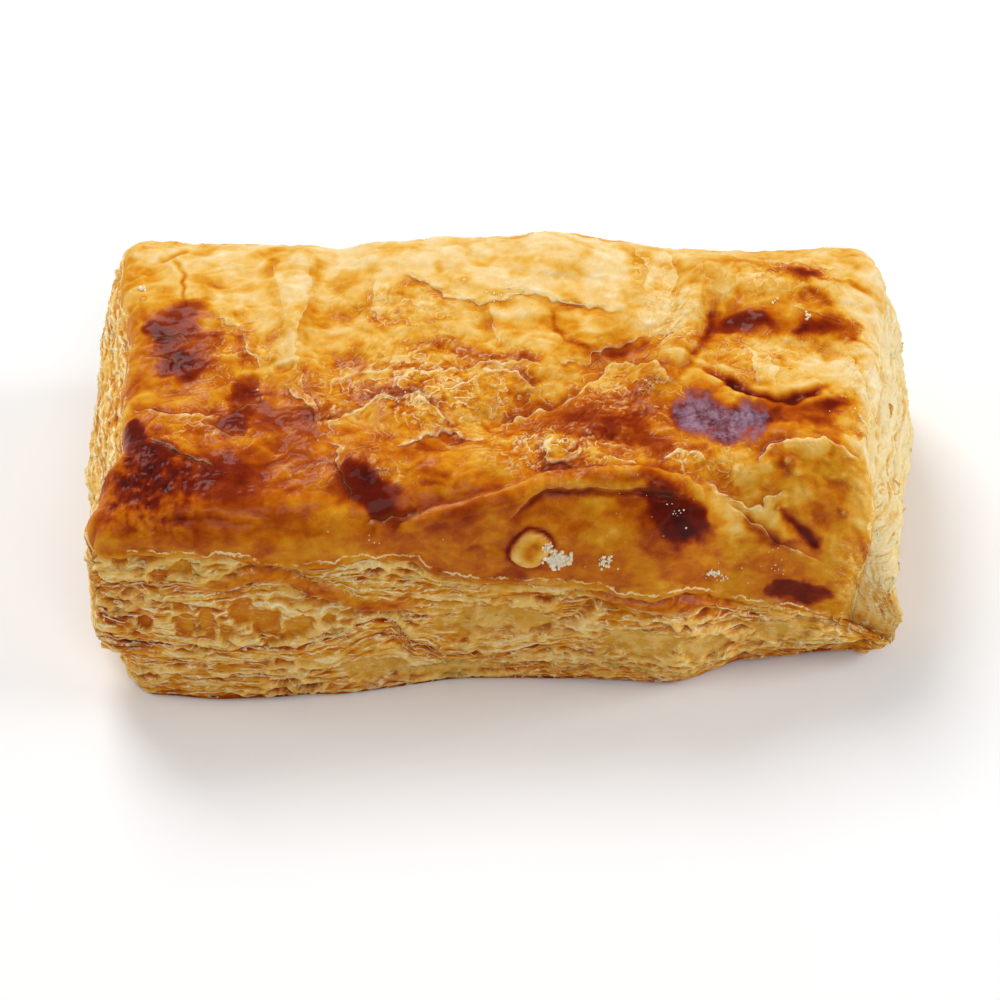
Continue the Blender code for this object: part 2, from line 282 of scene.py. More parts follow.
def crustHeight(a, b):
    x, y = crustPoint(a, b)
    frontY, backY = crustPoint(a, np.full_like(a, -1.0))[1], crustPoint(a, np.full_like(a, 1.0))[1]
    leftX, rightX = crustPoint(np.full_like(b, -1.0), b)[0], crustPoint(np.full_like(b, 1.0), b)[0]
    bulge = clamp(1 - (x / parcel["halfLength"]) ** 4) * clamp(1 - (y / parcel["halfDepth"]) ** 4)
    dome = parcel["endHeight"] + parcel["centreRise"] * bulge
    front = roll(y - frontY, along(parcel["frontRoll"], x))
    back = roll(backY - y, along(parcel["backRoll"], x))
    ends = roll(x - leftX, parcel["endRoll"]) * roll(rightX - x, parcel["endRoll"])
    height = dome - (dome - along(parcel["frontLip"], x)) * (1 - front)
    height -= (dome - along(parcel["backLip"], x)) * (1 - back)
    height -= parcel["endDrop"] * (1 - ends)
    rim = relief["flapRim"]
    inFront = clamp((along(rim, x) - y) / 1.5 + 0.5)
    forms = relief["flapStep"] * inFront * clamp((x - rim[0][0]) / 3) * clamp((rim[-1][0] - x) / 3 + 1)
    for path, width, rise in relief["ridges"]:
        forms = forms + rise * np.exp(-(toPath(path, x, y)[0] / width) ** 2)
    for centreX, centreY, halfX, halfY, rise in relief["mounds"]:
        forms += rise * np.exp(-((x - centreX) / halfX) ** 2 - ((y - centreY) / halfY) ** 2)
    for size, stretch, rise, seed in relief["wrinkles"]:
        forms += rise * wobble(x, y * stretch, seed, size)
    fade = np.minimum(1, relief["keptAtFront"] + front) * np.minimum(1, relief["keptAtBack"] + back * ends)
    return height + forms * fade


def footHeight(a, b):
    x, y = bellyPoint(a, b)
    edge = np.minimum(parcel["halfLength"] * (1 - abs(a)), parcel["halfDepth"] * (1 - abs(b)))
    curl = clamp(1 - edge / 4.0) ** 2
    corner = clamp((x - 20) / 25) * clamp(-y / parcel["halfDepth"])
    return curl * (0.9 * (0.5 + 0.5 * wobble(x, y, 1.0, 9.0)) + 1.8 * corner)


def crowd(share):
    return mix(share, np.sin(share * math.pi / 2), parcel["crowding"])


def facing(points):
    # unit normals of a grid of points, rows by columns
    across = np.gradient(points, axis=0)
    lengthwise = np.gradient(points, axis=1)
    normal = np.cross(lengthwise, across)
    return normal / np.maximum(np.linalg.norm(normal, axis=2, keepdims=True), 1e-9)


def place(points):
    # from the pastry's millimetres to the frame's metres
    moved = np.array(points, float)
    moved[..., 0] -= parcel["middle"][0]
    moved[..., 1] -= parcel["middle"][1]
    return moved / 1000


def setBack(x, y, share):
    # the lower left of the parcel stands back
    setback = parcel["lowerSetback"] * clamp(-x / 20 - 1) * share
    return inset(x, y, (setback, 0.0, 0.0, 0.0), 1.0)


def ringedGrid(columns, rows, count):
    # a grid with rings of faces drawn out from its rim and one face that closes the last ring; with it
    # come each point's own point of the grid, and the number of its ring, 0 on the grid
    bm = bmesh.new()
    bmesh.ops.create_grid(bm, x_segments=columns, y_segments=rows, size=1.0)
    home = bm.verts.layers.int.new("home")
    tag = bm.verts.layers.int.new("ring")
    for index, vert in enumerate(bm.verts):
        vert[home] = index
    edges = [e for e in bm.edges if e.is_boundary]
    for ring in range(1, count + 1):
        made = bmesh.ops.extrude_edge_only(bm, edges=edges)["geom"]
        edges = [g for g in made if isinstance(g, bmesh.types.BMEdge) and g.is_boundary]
        for vert in (g for g in made if isinstance(g, bmesh.types.BMVert)):
            vert[tag] = ring
    bmesh.ops.holes_fill(bm, edges=edges, sides=0)
    homes = np.array([v[home] for v in bm.verts])
    rings = np.array([v[tag] for v in bm.verts])
    for layer in ("home", "ring"):
        bm.verts.layers.int.remove(bm.verts.layers.int[layer])
    return bm, homes, rings


def settle(bm, points, marks, name):
    # turns a bmesh and its points in millimetres into a smooth-shaded piece with its marks as attributes
    mesh = bpy.data.meshes.new(name)
    bm.to_mesh(mesh)
    bm.free()
    mesh.vertices.foreach_set("co", place(points).astype(np.float32).ravel())
    for mark, values in marks.items():
        attribute = mesh.attributes.new(mark, "FLOAT", "POINT")
        attribute.data.foreach_set("value", np.asarray(values, np.float32).ravel())
    tidy = bmesh.new()
    tidy.from_mesh(mesh)
    bmesh.ops.recalc_face_normals(tidy, faces=tidy.faces)
    tidy.to_mesh(mesh)
    tidy.free()
    mesh.shade_smooth()
    piece = bpy.data.objects.new(name, mesh)
    bpy.context.scene.collection.objects.link(piece)
    return piece


def isPastry(piece, finish, stands=True):
    piece.data.materials.append(finish)
    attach(piece, "root")
    if stands:
        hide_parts("chicken_puff")


# Crust: one glazed sheet over the top that rolls down the front
crust = {
    "cellsX": 392,
    "cellsY": 212,
    # the turned-under lip: how far out and up each ring of points lies, and its distance over the surface
    "lip": ((0.30, -0.30), (0.42, -0.75), (0.20, -1.15), (-0.5, -1.3), (-2.6, -1.0), (-8.0, 0.5)),
    "lipRun": (0.42, 0.90, 1.35, 2.1, 4.2, 9.8),
    # torn edges: path in (x, s), which side is raised (1 left of the way along, -1 right), height, reach
    # and paleness
    "edges": (
        (((-14.8, 15.1), (-10.4, 13.9), (-7.8, 11.1), (-5.3, 10.1), (-2.9, 9.7), (0.9, 10.3),
         (3.4, 11.7), (5.9, 11.2),
          (9.2, 10.3), (13.4, 9.7), (15.8, 9.1), (20.0, 8.7)), 1, 0.6, 9.0, 0.9),
        (((-21.7, -2.9), (-17.0, -3.7), (-8.9, -3.7), (-5.6, -2.6), (-1.5, -1.5), (4.1, -1.4),
         (7.0, -2.2)), -1, 0.4, 5.0, 0.8),
        (((-2.0, -3.2), (1.0, -2.9), (3.4, -3.8), (5.4, -6.3)), -1, 0.35, 3.0, 0.9),
        (((-25.1, -13.8), (-19.8, -10.3), (-17.0, -8.2), (-14.5, -8.8), (-11.3, -8.0), (-10.1, -9.7),
         (-7.2, -11.4),
          (-8.8, -13.6)), -1, 0.5, 4.0, 1.0),
        (((-14.4, -18.4), (-12.8, -17.9), (-9.6, -14.9), (-6.4, -14.0), (-3.2, -16.1),
         (-0.7, -15.3)), 1, 0.55, 4.0, 1.0),
        (((-0.9, -13.6), (2.5, -11.1), (5.9, -9.7), (9.1, -8.8), (11.5, -6.5), (14.0, -3.8),
         (17.0, -0.6), (19.0, 0.6),
          (21.0, -0.7), (23.9, -2.7), (25.0, -5.5), (26.1, -6.8)), -1, 1.0, 9.0, 0.8),
        (((8.5, -1.2), (10.8, -1.1), (13.3, -0.8), (14.5, 1.6), (19.0, 3.5), (24.1, 5.4), (26.5, 6.4),
         (28.3, 8.8)), 1, 0.38,
         7.0, 0.5),
        (((7.0, -16.5), (7.4, -21.2), (9.4, -20.9), (11.3, -22.0)), 1, 0.45, 2.5, 1.0),
        (((15.3, -21.4), (16.7, -20.0), (20.3, -21.6)), -1, 0.45, 2.0, 1.0),
        (((24.0, -20.6), (26.0, -18.4), (29.5, -18.6), (30.5, -20.4)), -1, 0.45, 2.5, 0.9),
        (((-24.3, -16.7), (-22.6, -18.3), (-23.1, -21.0), (-20.8, -27.6)), 1, 0.35, 4.0, 0.6),
        (((-18.4, -30.2), (-15.6, -29.7), (-11.2, -28.3)), -1, 0.4, 4.0, 0.7),
        (((-27.9, 20.0), (-28.1, 8.7), (-29.4, 6.5), (-29.5, 2.8), (-29.1, -1.0), (-28.5, -6.1),
         (-26.8, -9.3),
          (-25.4, -12.9), (-23.0, -13.4)), -1, 0.20, 4.0, 0.45),
        (((-33.9, 19.4), (-32.4, 12.2), (-31.3, 6.5), (-32.9, 1.8), (-31.1, -1.0)), 1, 0.07, 2.5, 0.12),
        (((-38.6, -10.8), (-36.6, -9.2), (-35.0, -8.7), (-34.0, -7.0)), -1, 0.35, 2.5, 1.0),
        (((-53.4, -9.2), (-49.5, -10.8), (-47.4, -11.5), (-43.5, -11.0),
         (-40.6, -11.5)), -1, 0.35, 3.0, 0.7),
        (((-43.5, -12.6), (-41.5, -13.8), (-39.7, -15.0), (-36.3, -15.5)), -1, 0.3, 3.0, 0.6),
        (((-50.4, -16.4), (-47.0, -18.9), (-45.4, -19.6), (-43.0, -20.4),
         (-40.5, -21.7)), 1, 0.45, 3.0, 0.9),
        (((-51.2, 4.4), (-48.0, 4.2), (-45.0, 3.4)), -1, 0.3, 2.0, 0.9),
        (((-52.4, 0.8), (-49.6, 0.2), (-47.4, -1.4)), -1, 0.3, 2.0, 0.7),
        (((-41.5, 6.4), (-38.6, 5.4), (-36.0, 6.2)), 1, 0.25, 2.5, 0.6),
        (((-37.8, 4.5), (-36.4, 1.0), (-34.8, -2.0)), 1, 0.3, 2.0, 0.6),
        (((-30.8, -6.4), (-27.1, -10.2), (-26.3, -13.4)), 1, 0.4, 3.0, 0.7),
        (((-15.6, -32.6), (-13.7, -29.9), (-8.8, -28.0), (-4.8, -27.3), (-0.3, -26.3), (4.8, -24.0),
         (11.3, -22.3),
          (18.3, -22.7), (23.3, -23.2), (27.3, -23.1), (29.8, -24.4), (30.8, -27.6)), -1, 0.75, 14.0, 0.1),
        (((1.5, -31.0), (2.3, -29.4), (5.2, -26.4), (9.2, -25.2), (14.3, -25.5), (19.3, -25.9),
         (23.2, -26.2),
          (28.3, -25.8)), 1, 0.45, 1.6, 0.1),
        (((30.2, -22.9), (33.5, -24.7), (36.1, -26.0), (38.6, -26.9), (39.5, -24.9),
         (42.6, -24.4)), -1, 0.5, 4.0, 0.9),
        (((33.0, -26.0), (35.5, -27.4), (38.7, -30.5), (42.9, -34.0), (48.3, -35.9)), -1, 0.4, 4.0, 0.5),
        (((38.2, -20.5), (39.0, -18.2), (40.5, -16.9), (44.5, -16.7), (47.7, -16.5), (50.1, -16.8),
         (53.4, -18.0)), -1, 0.7,
         8.0, 0.9),
        (((44.0, 9.9), (47.5, 8.9), (51.8, 7.4)), 1, 0.35, 4.0, 0.3),
        (((33.0, 22.0), (40.0, 19.5), (47.0, 18.8), (52.0, 17.5)), 1, 0.35, 4.0, 0.5),
        (((37.7, 3.4), (37.9, -2.0), (38.5, -6.0)), 1, 0.35, 2.5, 0.7),
        (((40.4, 1.6), (41.4, -2.0), (41.0, -5.8)), -1, 0.3, 2.0, 0.6),
        (((52.4, 1.6), (54.2, -3.5), (54.6, -8.0)), -1, 0.35, 3.0, 0.8),
        (((53.0, -9.0), (54.8, -12.5), (52.8, -15.0)), 1, 0.3, 2.5, 0.7),
        (((-0.8, 9.4), (-0.3, 5.1), (0.1, 2.2)), 1, 0.3, 2.0, 0.35),
        (((-18.0, 14.0), (-18.6, 9.0), (-16.6, 5.0)), 1, 0.25, 3.0, 0.5),
        (((20.0, 24.0), (22.5, 18.0), (22.0, 12.0)), 1, 0.3, 3.0, 0.4),
        (((25.5, 22.0), (27.5, 17.0), (26.0, 12.5)), -1, 0.35, 3.0, 0.5),
    ),
    # rounded rolls of dough: path, half width, height, how much darker
    "rolls": (
        (((-14.0, -31.0), (-9.0, -29.2), (-4.5, -28.4), (0.5, -27.3), (5.0, -25.3), (10.5, -23.7),
         (18.3, -24.1),
          (23.3, -24.6), (28.6, -24.6)), 0.95, 0.50, 0.22),
        (((-28.6, 19.0), (-29.0, 8.7), (-30.2, 4.0), (-29.8, -3.0)), 1.3, 0.12, 0.02),
        (((29.0, 15.0), (28.6, 9.0), (26.6, 3.0), (25.2, -3.0)), 1.6, 0.5, 0.0),
        (((-50.0, -28.0), (-42.0, -27.0), (-34.0, -27.6), (-27.0, -29.0)), 2.2, 0.4, 0.02),
    ),
    # furrows: path, half width, depth, how much darker
    "furrows": (
        (((28.8, -2.0), (31.8, -2.8), (34.3, -4.8), (35.9, -6.6), (38.2, -7.8), (42.6, -8.4),
         (46.6, -6.6), (49.6, -4.6)),
         0.66, 0.9, 0.46),
        (((33.4, 13.0), (32.3, 8.8), (31.0, 3.6), (28.4, -2.2), (25.6, -6.0)), 0.6, 0.35, 0.20),
        (((41.0, -27.2), (43.8, -30.2), (47.6, -33.6)), 0.95, 0.70, 0.42),
        (((-49.2, 21.3), (-48.0, 19.5), (-47.0, 15.6), (-47.0, 12.3), (-46.3, 9.1)), 0.34, 0.3, 0.28),
        (((-51.4, 20.9), (-49.0, 21.7), (-46.4, 23.6)), 0.5, 0.35, 0.24),
        (((8.4, 8.6), (8.9, 5.1), (10.4, 3.2), (12.9, 2.2), (14.4, 1.6)), 0.4, 0.2, 0.22),
        (((-13.0, 4.2), (-11.0, 2.6), (-7.3, 1.1), (-3.6, -0.1), (0.9, -0.5), (5.9, -0.5),
         (9.2, 0.4)), 0.8, 0.2, 0.14),
        (((-33.0, -1.6), (-31.0, -3.2), (-29.4, -2.2)), 0.4, 0.35, 0.22),
        (((53.7, 4.3), (56.0, 3.0), (57.6, 1.6)), 0.3, 0.25, 0.22),
        (((35.4, -27.4), (38.0, -30.4), (41.5, -34.0)), 0.8, 0.4, 0.26),
        (((2.5, -29.8), (5.2, -27.0), (9.2, -25.9), (14.3, -26.2), (19.3, -26.5), (23.2, -26.8),
         (28.3, -26.4)), 0.42, 0.45, 0.12),
        (((-26.6, 22.0), (-26.2, 12.0), (-26.2, 3.0), (-25.6, -4.0)), 1.4, 0.28, -0.02),
        (((14.0, 2.8), (19.5, 2.2), (25.5, 4.0)), 1.0, 0.15, 0.02),
    ),
    # how far each stretch of crust is baked, from 0 pale to 1 dark: middle x, middle s, half sizes, bake
    "zones": (
        (-43, 16, 13, 10, 0.22), (-37, 4, 5, 6, 0.30), (-53, -4, 4, 16, 0.56), (-54, 14, 4, 8, 0.34),
         (-45, -13, 9, 5, 0.52),
        (-38, -23, 12, 4, 0.66), (-37, -29, 15, 5, 0.66), (-37, -34, 15, 2, 0.58), (-57, -29, 3, 7, 0.42),
        (-29, 12, 3, 9, 0.22), (-4, 20, 22, 8, 0.16), (-17, 8, 8, 6, 0.40), (-22, -8, 7, 6, 0.56),
        (4, 5, 10, 4, 0.34), (-10, -7, 12, 6, 0.48), (-10, -19, 12, 5, 0.58), (9, -5, 8, 3, 0.40),
        (20, 2, 7, 3, 0.52), (15, -12, 6, 5, 0.84), (8, -18, 8, 3, 0.52), (26, 14, 6, 8, 0.18),
        (41, 0, 9, 4, 0.22), (34, 6, 4, 8, 0.52), (45, 20, 10, 5, 0.32), (57, 0, 4, 18, 0.04),
         (46, -21, 7, 4, 0.44),
        (54, -25, 4, 6, 0.40), (41, -35, 10, 5, 0.60), (36, -30, 4, 4, 0.20), (56, -37, 5, 7, 0.24),
         (40, -42, 10, 3, 0.50),
        (8, -34, 18, 6, 0.64), (14, -31, 5, 3, 0.50), (1, -33, 4, 3, 0.58), (-8, -34, 6, 4, 0.70),
         (26, -35, 6, 3, 0.54),
        (10, -39, 24, 1.5, 0.70), (20, -36, 8, 4, 0.58), (-29, -15, 4, 5, 0.64),
    ),
    "zoneDefault": 0.42,
    "zoneDefaultWeight": 0.15,
    # scorches: path, half width, how much darker, how sharp the edge is, and how much of the purple sheen, a
    # painted reflection, lies on it
    "scorches": (
        (((-47.2, 7.4), (-46.0, 3.0), (-45.0, -1.0)), 4.3, 0.52, 1.8, 0.0),
        (((-52.0, 6.0), (-49.0, 8.3)), 1.1, 0.36, 2.6, 0.0),
        (((-44.6, -3.8), (-40.6, -3.0)), 2.8, 0.26, 1.4, 0.0),
        (((-37.0, -5.0), (-37.4, -9.0), (-38.3, -13.6)), 2.3, 0.42, 2.0, 0.30),
        (((-34.4, -8.6), (-33.8, -13.4)), 2.6, 0.26, 1.5, 0.45),
        (((-32.5, -12.0), (-29.0, -17.0)), 3.4, 0.20, 1.4, 0.15),
        (((-52.8, -13.8), (-52.4, -18.4)), 1.9, 0.46, 2.6, 0.0),
        (((-49.8, -20.0), (-50.4, -23.6)), 3.8, 0.50, 1.5, 0.35),
        (((-52.0, -25.0), (-45.0, -24.5), (-39.0, -23.5)), 5.0, 0.40, 1.0, 0.0),
        (((-30.6, -19.4), (-29.0, -21.8)), 3.6, 0.12, 1.8, 0.2),
        (((-31.4, -11.6), (-26.8, -12.6)), 1.9, 0.20, 1.8, 0.0),
        (((-20.2, -23.9), (-16.4, -26.9)), 2.8, 0.50, 2.2, 0.0),
        (((25.4, -28.6), (27.0, -30.2)), 3.9, 0.50, 2.4, 0.0),
        (((26.6, -30.0), (27.6, -31.4)), 1.8, 0.62, 1.6, 0.0),
        (((19.0, -27.6), (24.0, -27.6)), 1.5, 0.14, 1.6, 0.0),
        (((28.6, -11.6), (32.5, -13.4), (36.0, -12.6)), 4.0, 0.52, 3.0, 1.0),
        (((35.0, -11.2), (38.2, -12.4)), 2.2, 0.60, 2.2, 0.3),
        (((39.5, -10.8), (44.0, -11.2), (48.5, -10.2), (51.6, -9.0)), 2.5, 0.32, 2.0, 0.0),
        (((49.0, -8.8), (50.6, -8.3)), 1.6, 0.40, 2.4, 0.2),
        (((33.6, 7.6), (37.5, 8.0), (40.6, 7.4)), 2.2, 0.42, 1.8, 0.0),
        (((46.2, 6.2), (50.5, 6.8), (52.6, 6.2)), 2.1, 0.50, 2.0, 0.2),
        (((40.0, 6.8), (46.0, 6.4)), 1.4, 0.30, 1.6, 0.0),
        (((49.6, 1.4), (48.9, 2.8)), 1.2, 0.25, 2.0, 0.0),
        (((42.6, 16.6), (47.0, 16.2)), 1.4, 0.40, 1.8, 0.0),
        (((47.0, 15.8), (52.0, 15.1), (57.0, 14.6)), 0.6, 0.26, 1.8, 0.0),
        (((42.2, -42.6), (47.8, -42.6)), 2.3, 0.42, 4.0, 0.0),
        (((19.5, -13.5), (21.5, -16.5), (23.5, -18.5)), 1.9, 0.22, 1.6, 0.0),
        (((10.5, -13.5), (16.5, -14.0)), 3.4, 0.20, 1.3, 0.0),
        (((33.0, 13.0), (32.0, 6.0), (30.6, 2.0)), 2.0, 0.10, 1.2, 0.2),
        (((-33.8, 19.6), (-33.9, 15.9)), 0.8, 0.24, 1.8, 0.0),
        (((-43.0, 14.6), (-40.0, 12.6)), 0.8, 0.14, 1.5, 0.0),
        (((-6.2, 14.5), (-4.8, 17.5)), 1.0, 0.10, 1.4, 0.0),
        (((48.4, 12.3), (50.6, 10.6)), 0.9, 0.16, 2.0, 0.0),
        (((48.0, -28.0), (53.0, -29.5)), 1.8, 0.12, 1.6, 0.0),
        (((-9.0, -30.8), (-4.0, -30.0)), 1.3, 0.16, 2.0, 0.0),
        (((2.2, -32.4), (2.6, -28.0)), 0.9, 0.12, 1.5, 0.0),
    ),
    "raggedness": 0.34,
    # rough stretches, where the skin has broken into flakes: middle, half sizes, strength
    "rough": ((-10, -6, 17, 9, 1.0), (9, -18, 10, 5, 1.0), (18, -8, 8, 8, 0.7), (26, 8, 5, 8, 0.8),
     (42, 16, 12, 4, 0.6),
              (-14, 9, 9, 5, 0.6), (40, 0, 9, 5, 0.6), (-26, -12, 5, 6, 0.6), (-38, 0, 9, 10, 0.45),
               (30, -20, 7, 3, 0.7),
              (-44, -14, 9, 4, 0.4), (54, -4, 4, 16, 0.5), (-20, -22, 9, 3, 0.5), (24, 16, 4, 6, 0.6),
              (56, -38, 5, 8, 0.9)),
    "pitted": (-49.5, -25.0, 7.5, 8.0, 0),
    # pimples with a pale pinhole, the pale centre partly a painted highlight: x, s, radius
    "pimples": ((42.2, -20.0, 1.5), (36.4, -12.2, 1.6), (50.7, -26.6, 1.2), (-4.7, 14.0, 0.9),
     (41.0, -27.2, 0.8),
                (-52.9, 12.1, 0.8)),
    "bubble": (4.9, -35.2, 2.8, 3.5, -24),
    # how far each kind of form stands out or sinks in, in millimetres, and its width where that is one size
    "bubbleHeight": 1.25,
    "pimpleHeight": 0.75,
    "pinholeDepth": 0.9,
    "blisterHeight": 0.28,
    "blisterSize": 6.5,
    "pitDepth": 0.30,
    "wrinkleSize": 3.6,
    "wrinkleHeight": (0.45, 0.30),  # at the front and at the back
    "crestHeight": 0.24,
    "waveHeight": 0.35,
    "scaleSize": 3.2,
    "scaleRim": 0.08,
    # overlapping flakes: size, height of the step, seed, how much stronger in the rough stretches
    "flakes": ((11.0, 0.40, 3, 0.45), (5.2, 0.30, 4, 0.95)),
    "rimRaggedness": 0.8,
    "edgeRaise": 0.50,
    "edgeBead": 0.12,
    "edgeReach": 0.9,  # how far from a torn edge its distance is kept for the finish
    "furrowDepth": 0.6,
    "furrowBank": 0.35,
    "bakeLimit": 0.90,  # above this the bake grows half as fast
    "spacing": (0.36, 0.31),  # how far apart the crust's points lie, across and along
}


def crustFields(x, s):
    # relief in millimetres along the normal, and the marks that colour it, over unrolled places
    blank = np.zeros_like(x)
    flat = np.stack([x, s, blank], axis=-1)
    warp = flat + np.stack([ripple(flat, 3.0, 40), ripple(flat, 3.0, 41), blank], axis=-1) * 0.9
    wx, ws = warp[..., 0], warp[..., 1]
    lift, pale, shade, rough, scorch, purple, torn = (np.zeros_like(x) for _ in range(7))
    # signed distance to the nearest torn edge; torn says how strongly it is drawn
    edgeReach = crust["edgeReach"]
    brink = np.full_like(x, edgeReach)

    for *spot, strength in crust["rough"]:
        rough = np.maximum(rough, strength * np.exp(-toSpot(spot, wx, ws) ** 2.4))

    weight = np.full_like(x, crust["zoneDefaultWeight"])
    total = weight * crust["zoneDefault"]
    for *spot, level in crust["zones"]:
        near = hump(toSpot(spot, wx, ws), 0, 1)
        weight += near
        total += near * level
    bake = total / weight
    bake += 0.075 * ripples(flat * (0.65, 1, 1), 3.4, 60, 4, 0.7)

    ragged = ripples(flat, 4.0, 50, 4, 0.62)
    for path, halfWidth, darker, sharp, sheen in crust["scorches"]:
        far = toPath(path, wx, ws)[0] / halfWidth + crust["raggedness"] * ragged
        cover = 1 / (1 + np.exp(np.minimum((far - 1) * 2.4 * sharp, 500)))
        scorch = np.maximum(scorch, darker * np.maximum(cover, 0.42 * hump(far, 0, 1.45)))
        # the purple sheen is a reflection painted into the colour of the glossy scorches
        purple = np.maximum(purple, sheen * cover)
    clean = 1 - smooth(scorch, 0.12, 0.32)

    # amber stains and pale islands
    stain = ripples(warp, (6.5, 5.0, 6.0), 51, 3, 0.6)
    bake += (0.13 + 0.03 * rough) * smooth(stain, 0.0, 0.55) - 0.07 * smooth(-stain, 0.0, 0.6)
    calmed = np.where(bake > 0.55, 0.55 + 0.6 * (bake - 0.55), bake)
    bake = calmed + scorch * (1 - 0.35 * smooth(bake, 0.45, 0.75))

    # overlapping flakes: sheets that slope gently and end in a small step, at two sizes
    across, lengthwise = crust["spacing"]
    for size, step, seed, share in crust["flakes"]:
        sheets = ripples(flat * (0.8, 1.1, 1), size, seed, 5, 0.6) * 2.0
        slopes = np.gradient(sheets)
        steep = np.maximum(np.hypot(slopes[0] / across, slopes[1] / lengthwise), 0.05)
        part = sheets - np.floor(sheets)
        edge = part / steep
        strength = clamp(0.06 + share * rough)
        lift += step * strength * (smooth(edge, 0, 0.30) - part)
        lip = strength * hump(edge, 0.10, 0.24)
        lift += 0.08 * lip
        seen = smooth(ripple(flat, 5.0, seed + 20), -0.3, 0.4)
        pale += 0.45 * (0.15 + 0.85 * clean) * lip * seen
        bake += 0.10 * strength * clean * (part - 0.5)

    # thin raised rims round flat scales of the broken skin
    bent = np.stack([ripples(flat, 3.0, 9, 3, 0.6), ripples(flat, 3.0, 8, 3, 0.6), blank], axis=-1)
    gap, label = cells(flat * (0.75, 1.15, 1) + 0.85 * bent, crust["scaleSize"], 7)
    crackle = (rough + 0.10) * hump(gap, 0, 0.055) * smooth(ripple(flat, 4.0, 26), -0.35, 0.35)
    lift += crust["scaleRim"] * crackle
    pale += 0.40 * crackle * (0.2 + 0.8 * clean)
    bake += 0.12 * rough * clean * (label - 0.5)
    lift += 0.09 * rough * ripples(warp, 2.4, 27, 2, 0.5)

    # wrinkles of the glazed skin, longer along the parcel
    skin = (1 - 0.6 * rough) * (1 - 0.55 * smooth(-s, 22.0, 27.0))
    fold = ripples(warp * (0.5, 1.0, 1), crust["wrinkleSize"], 12, 3, 0.55)
    skin *= 0.45 + 0.55 * clean
    lift += mix(*crust["wrinkleHeight"], smooth(s, 5, 12)) * skin * fold
    crest = 1 - abs(ripples(warp * (0.5, 1.0, 1), 3.0, 13, 2, 0.5))
    lift += crust["crestHeight"] * skin * (clamp(crest) ** 6)
    pale += 0.35 * skin * clean * smooth(crest, 0.90, 1.0) * smooth(ripple(flat, 7.0, 14), -0.1, 0.6)
    lift += crust["waveHeight"] * ripple(flat, (9.0, 6.0, 9.0), 15)

    for path, side, height, reach, paleness in crust["edges"]:
        bend = 0.15 + 0.65 * (paleness > 0.3)
        _, signed, way = toPath(path, x + bend * ripple(flat, 1.8, 16), s + bend * ripple(flat, 1.8, 17))
        signed = signed * side
        ends = tapered(way, 0.08)
        raised = ends * smooth(signed, -0.15, 0.3) * np.exp(-clamp(signed, 0, 99) / reach)
        lift += crust["edgeRaise"] * height * raised
        lift += crust["edgeBead"] * height * ends * hump(signed, 0.45, 0.45)
        lift -= crust["edgeBead"] * height * ends * hump(signed, -0.35, 0.35)
        broken = 0.35 + 0.65 * smooth(ripple(flat, 2.0, 18), -0.3, 0.3)
        pale += 0.60 * paleness * ends * broken * hump(signed, 0.20, 0.30)
        # the shade mark and the browner band on the low side of each edge are painted shade
        shade += 0.22 * ends * hump(signed, -0.40, 0.30)
        bake += 0.10 * clean * ends * hump(signed, -0.9, 0.9)
        closest = abs(signed) < abs(brink)
        drawn = (0.1 + 0.9 * paleness) * ends * (1 - smooth(abs(signed), 0.55, edgeReach))
        brink = np.where(closest, clamp(signed, -edgeReach, edgeReach), brink)
        torn = np.where(closest, drawn, torn)

    for path, halfWidth, height, browner in crust["rolls"]:
        far, _, way = toPath(path, x, s)
        ends = tapered(way, 0.10)
        swell = 0.85 + 0.2 * ripple(flat, 6.0, 22)
        lift += height * ends * swell * np.sqrt(clamp(1 - (far / (halfWidth * 1.25)) ** 2))
        bake += browner * ends * hump(far, 0, halfWidth)

    for path, halfWidth, depth, darker in crust["furrows"]:
        far, _, way = toPath(path, x + 0.5 * ripple(flat, 2.0, 19), s + 0.5 * ripple(flat, 2.0, 21))
        ends = tapered(way, 0.15)
        width = halfWidth * (0.5 + 0.5 * ends)
        lift -= crust["furrowDepth"] * depth * ends * hump(far, 0, width * 1.2)
        lift += crust["furrowBank"] * depth * ends * hump(far, 2.2 * width, width)
        bake += 0.72 * darker * (0.35 + 0.65 * ends) * hump(far, 0, width)

    # pits and mottling of the bulging left corner
    pitted = np.exp(-toSpot(crust["pitted"], wx, ws) ** 3)
    lift -= crust["pitDepth"] * pitted * smooth(ripples(flat, 1.3, 30, 2, 0.6), 0.0, 0.6)
    bake += pitted * (0.22 * ripples(flat, 2.2, 31, 3, 0.7))
    pale += 0.30 * pitted * smooth(ripples(flat, 1.1, 32, 2), 0.45, 0.9)

    # small blisters everywhere
    gap, label = cells(flat, crust["blisterSize"], 33)
    blister = smooth(gap, 0.16, 0.34) * (label > 0.62) * (1 - rough)
    lift += crust["blisterHeight"] * blister
    bake += 0.05 * blister

    for centreX, centreS, radius in crust["pimples"]:
        far = np.hypot(x - centreX, s - centreS) / radius
        lift += crust["pimpleHeight"] * radius * hump(far, 0, 0.55)
        lift -= crust["pinholeDepth"] * radius * hump(far, 0, 0.20)
        # the pale centre is partly the pinhole and partly a painted highlight
        bake += 0.30 * hump(far, 0.45, 0.32) - 0.25 * hump(far, 0, 0.22)
        pale += 0.8 * hump(far, 0, 0.22)

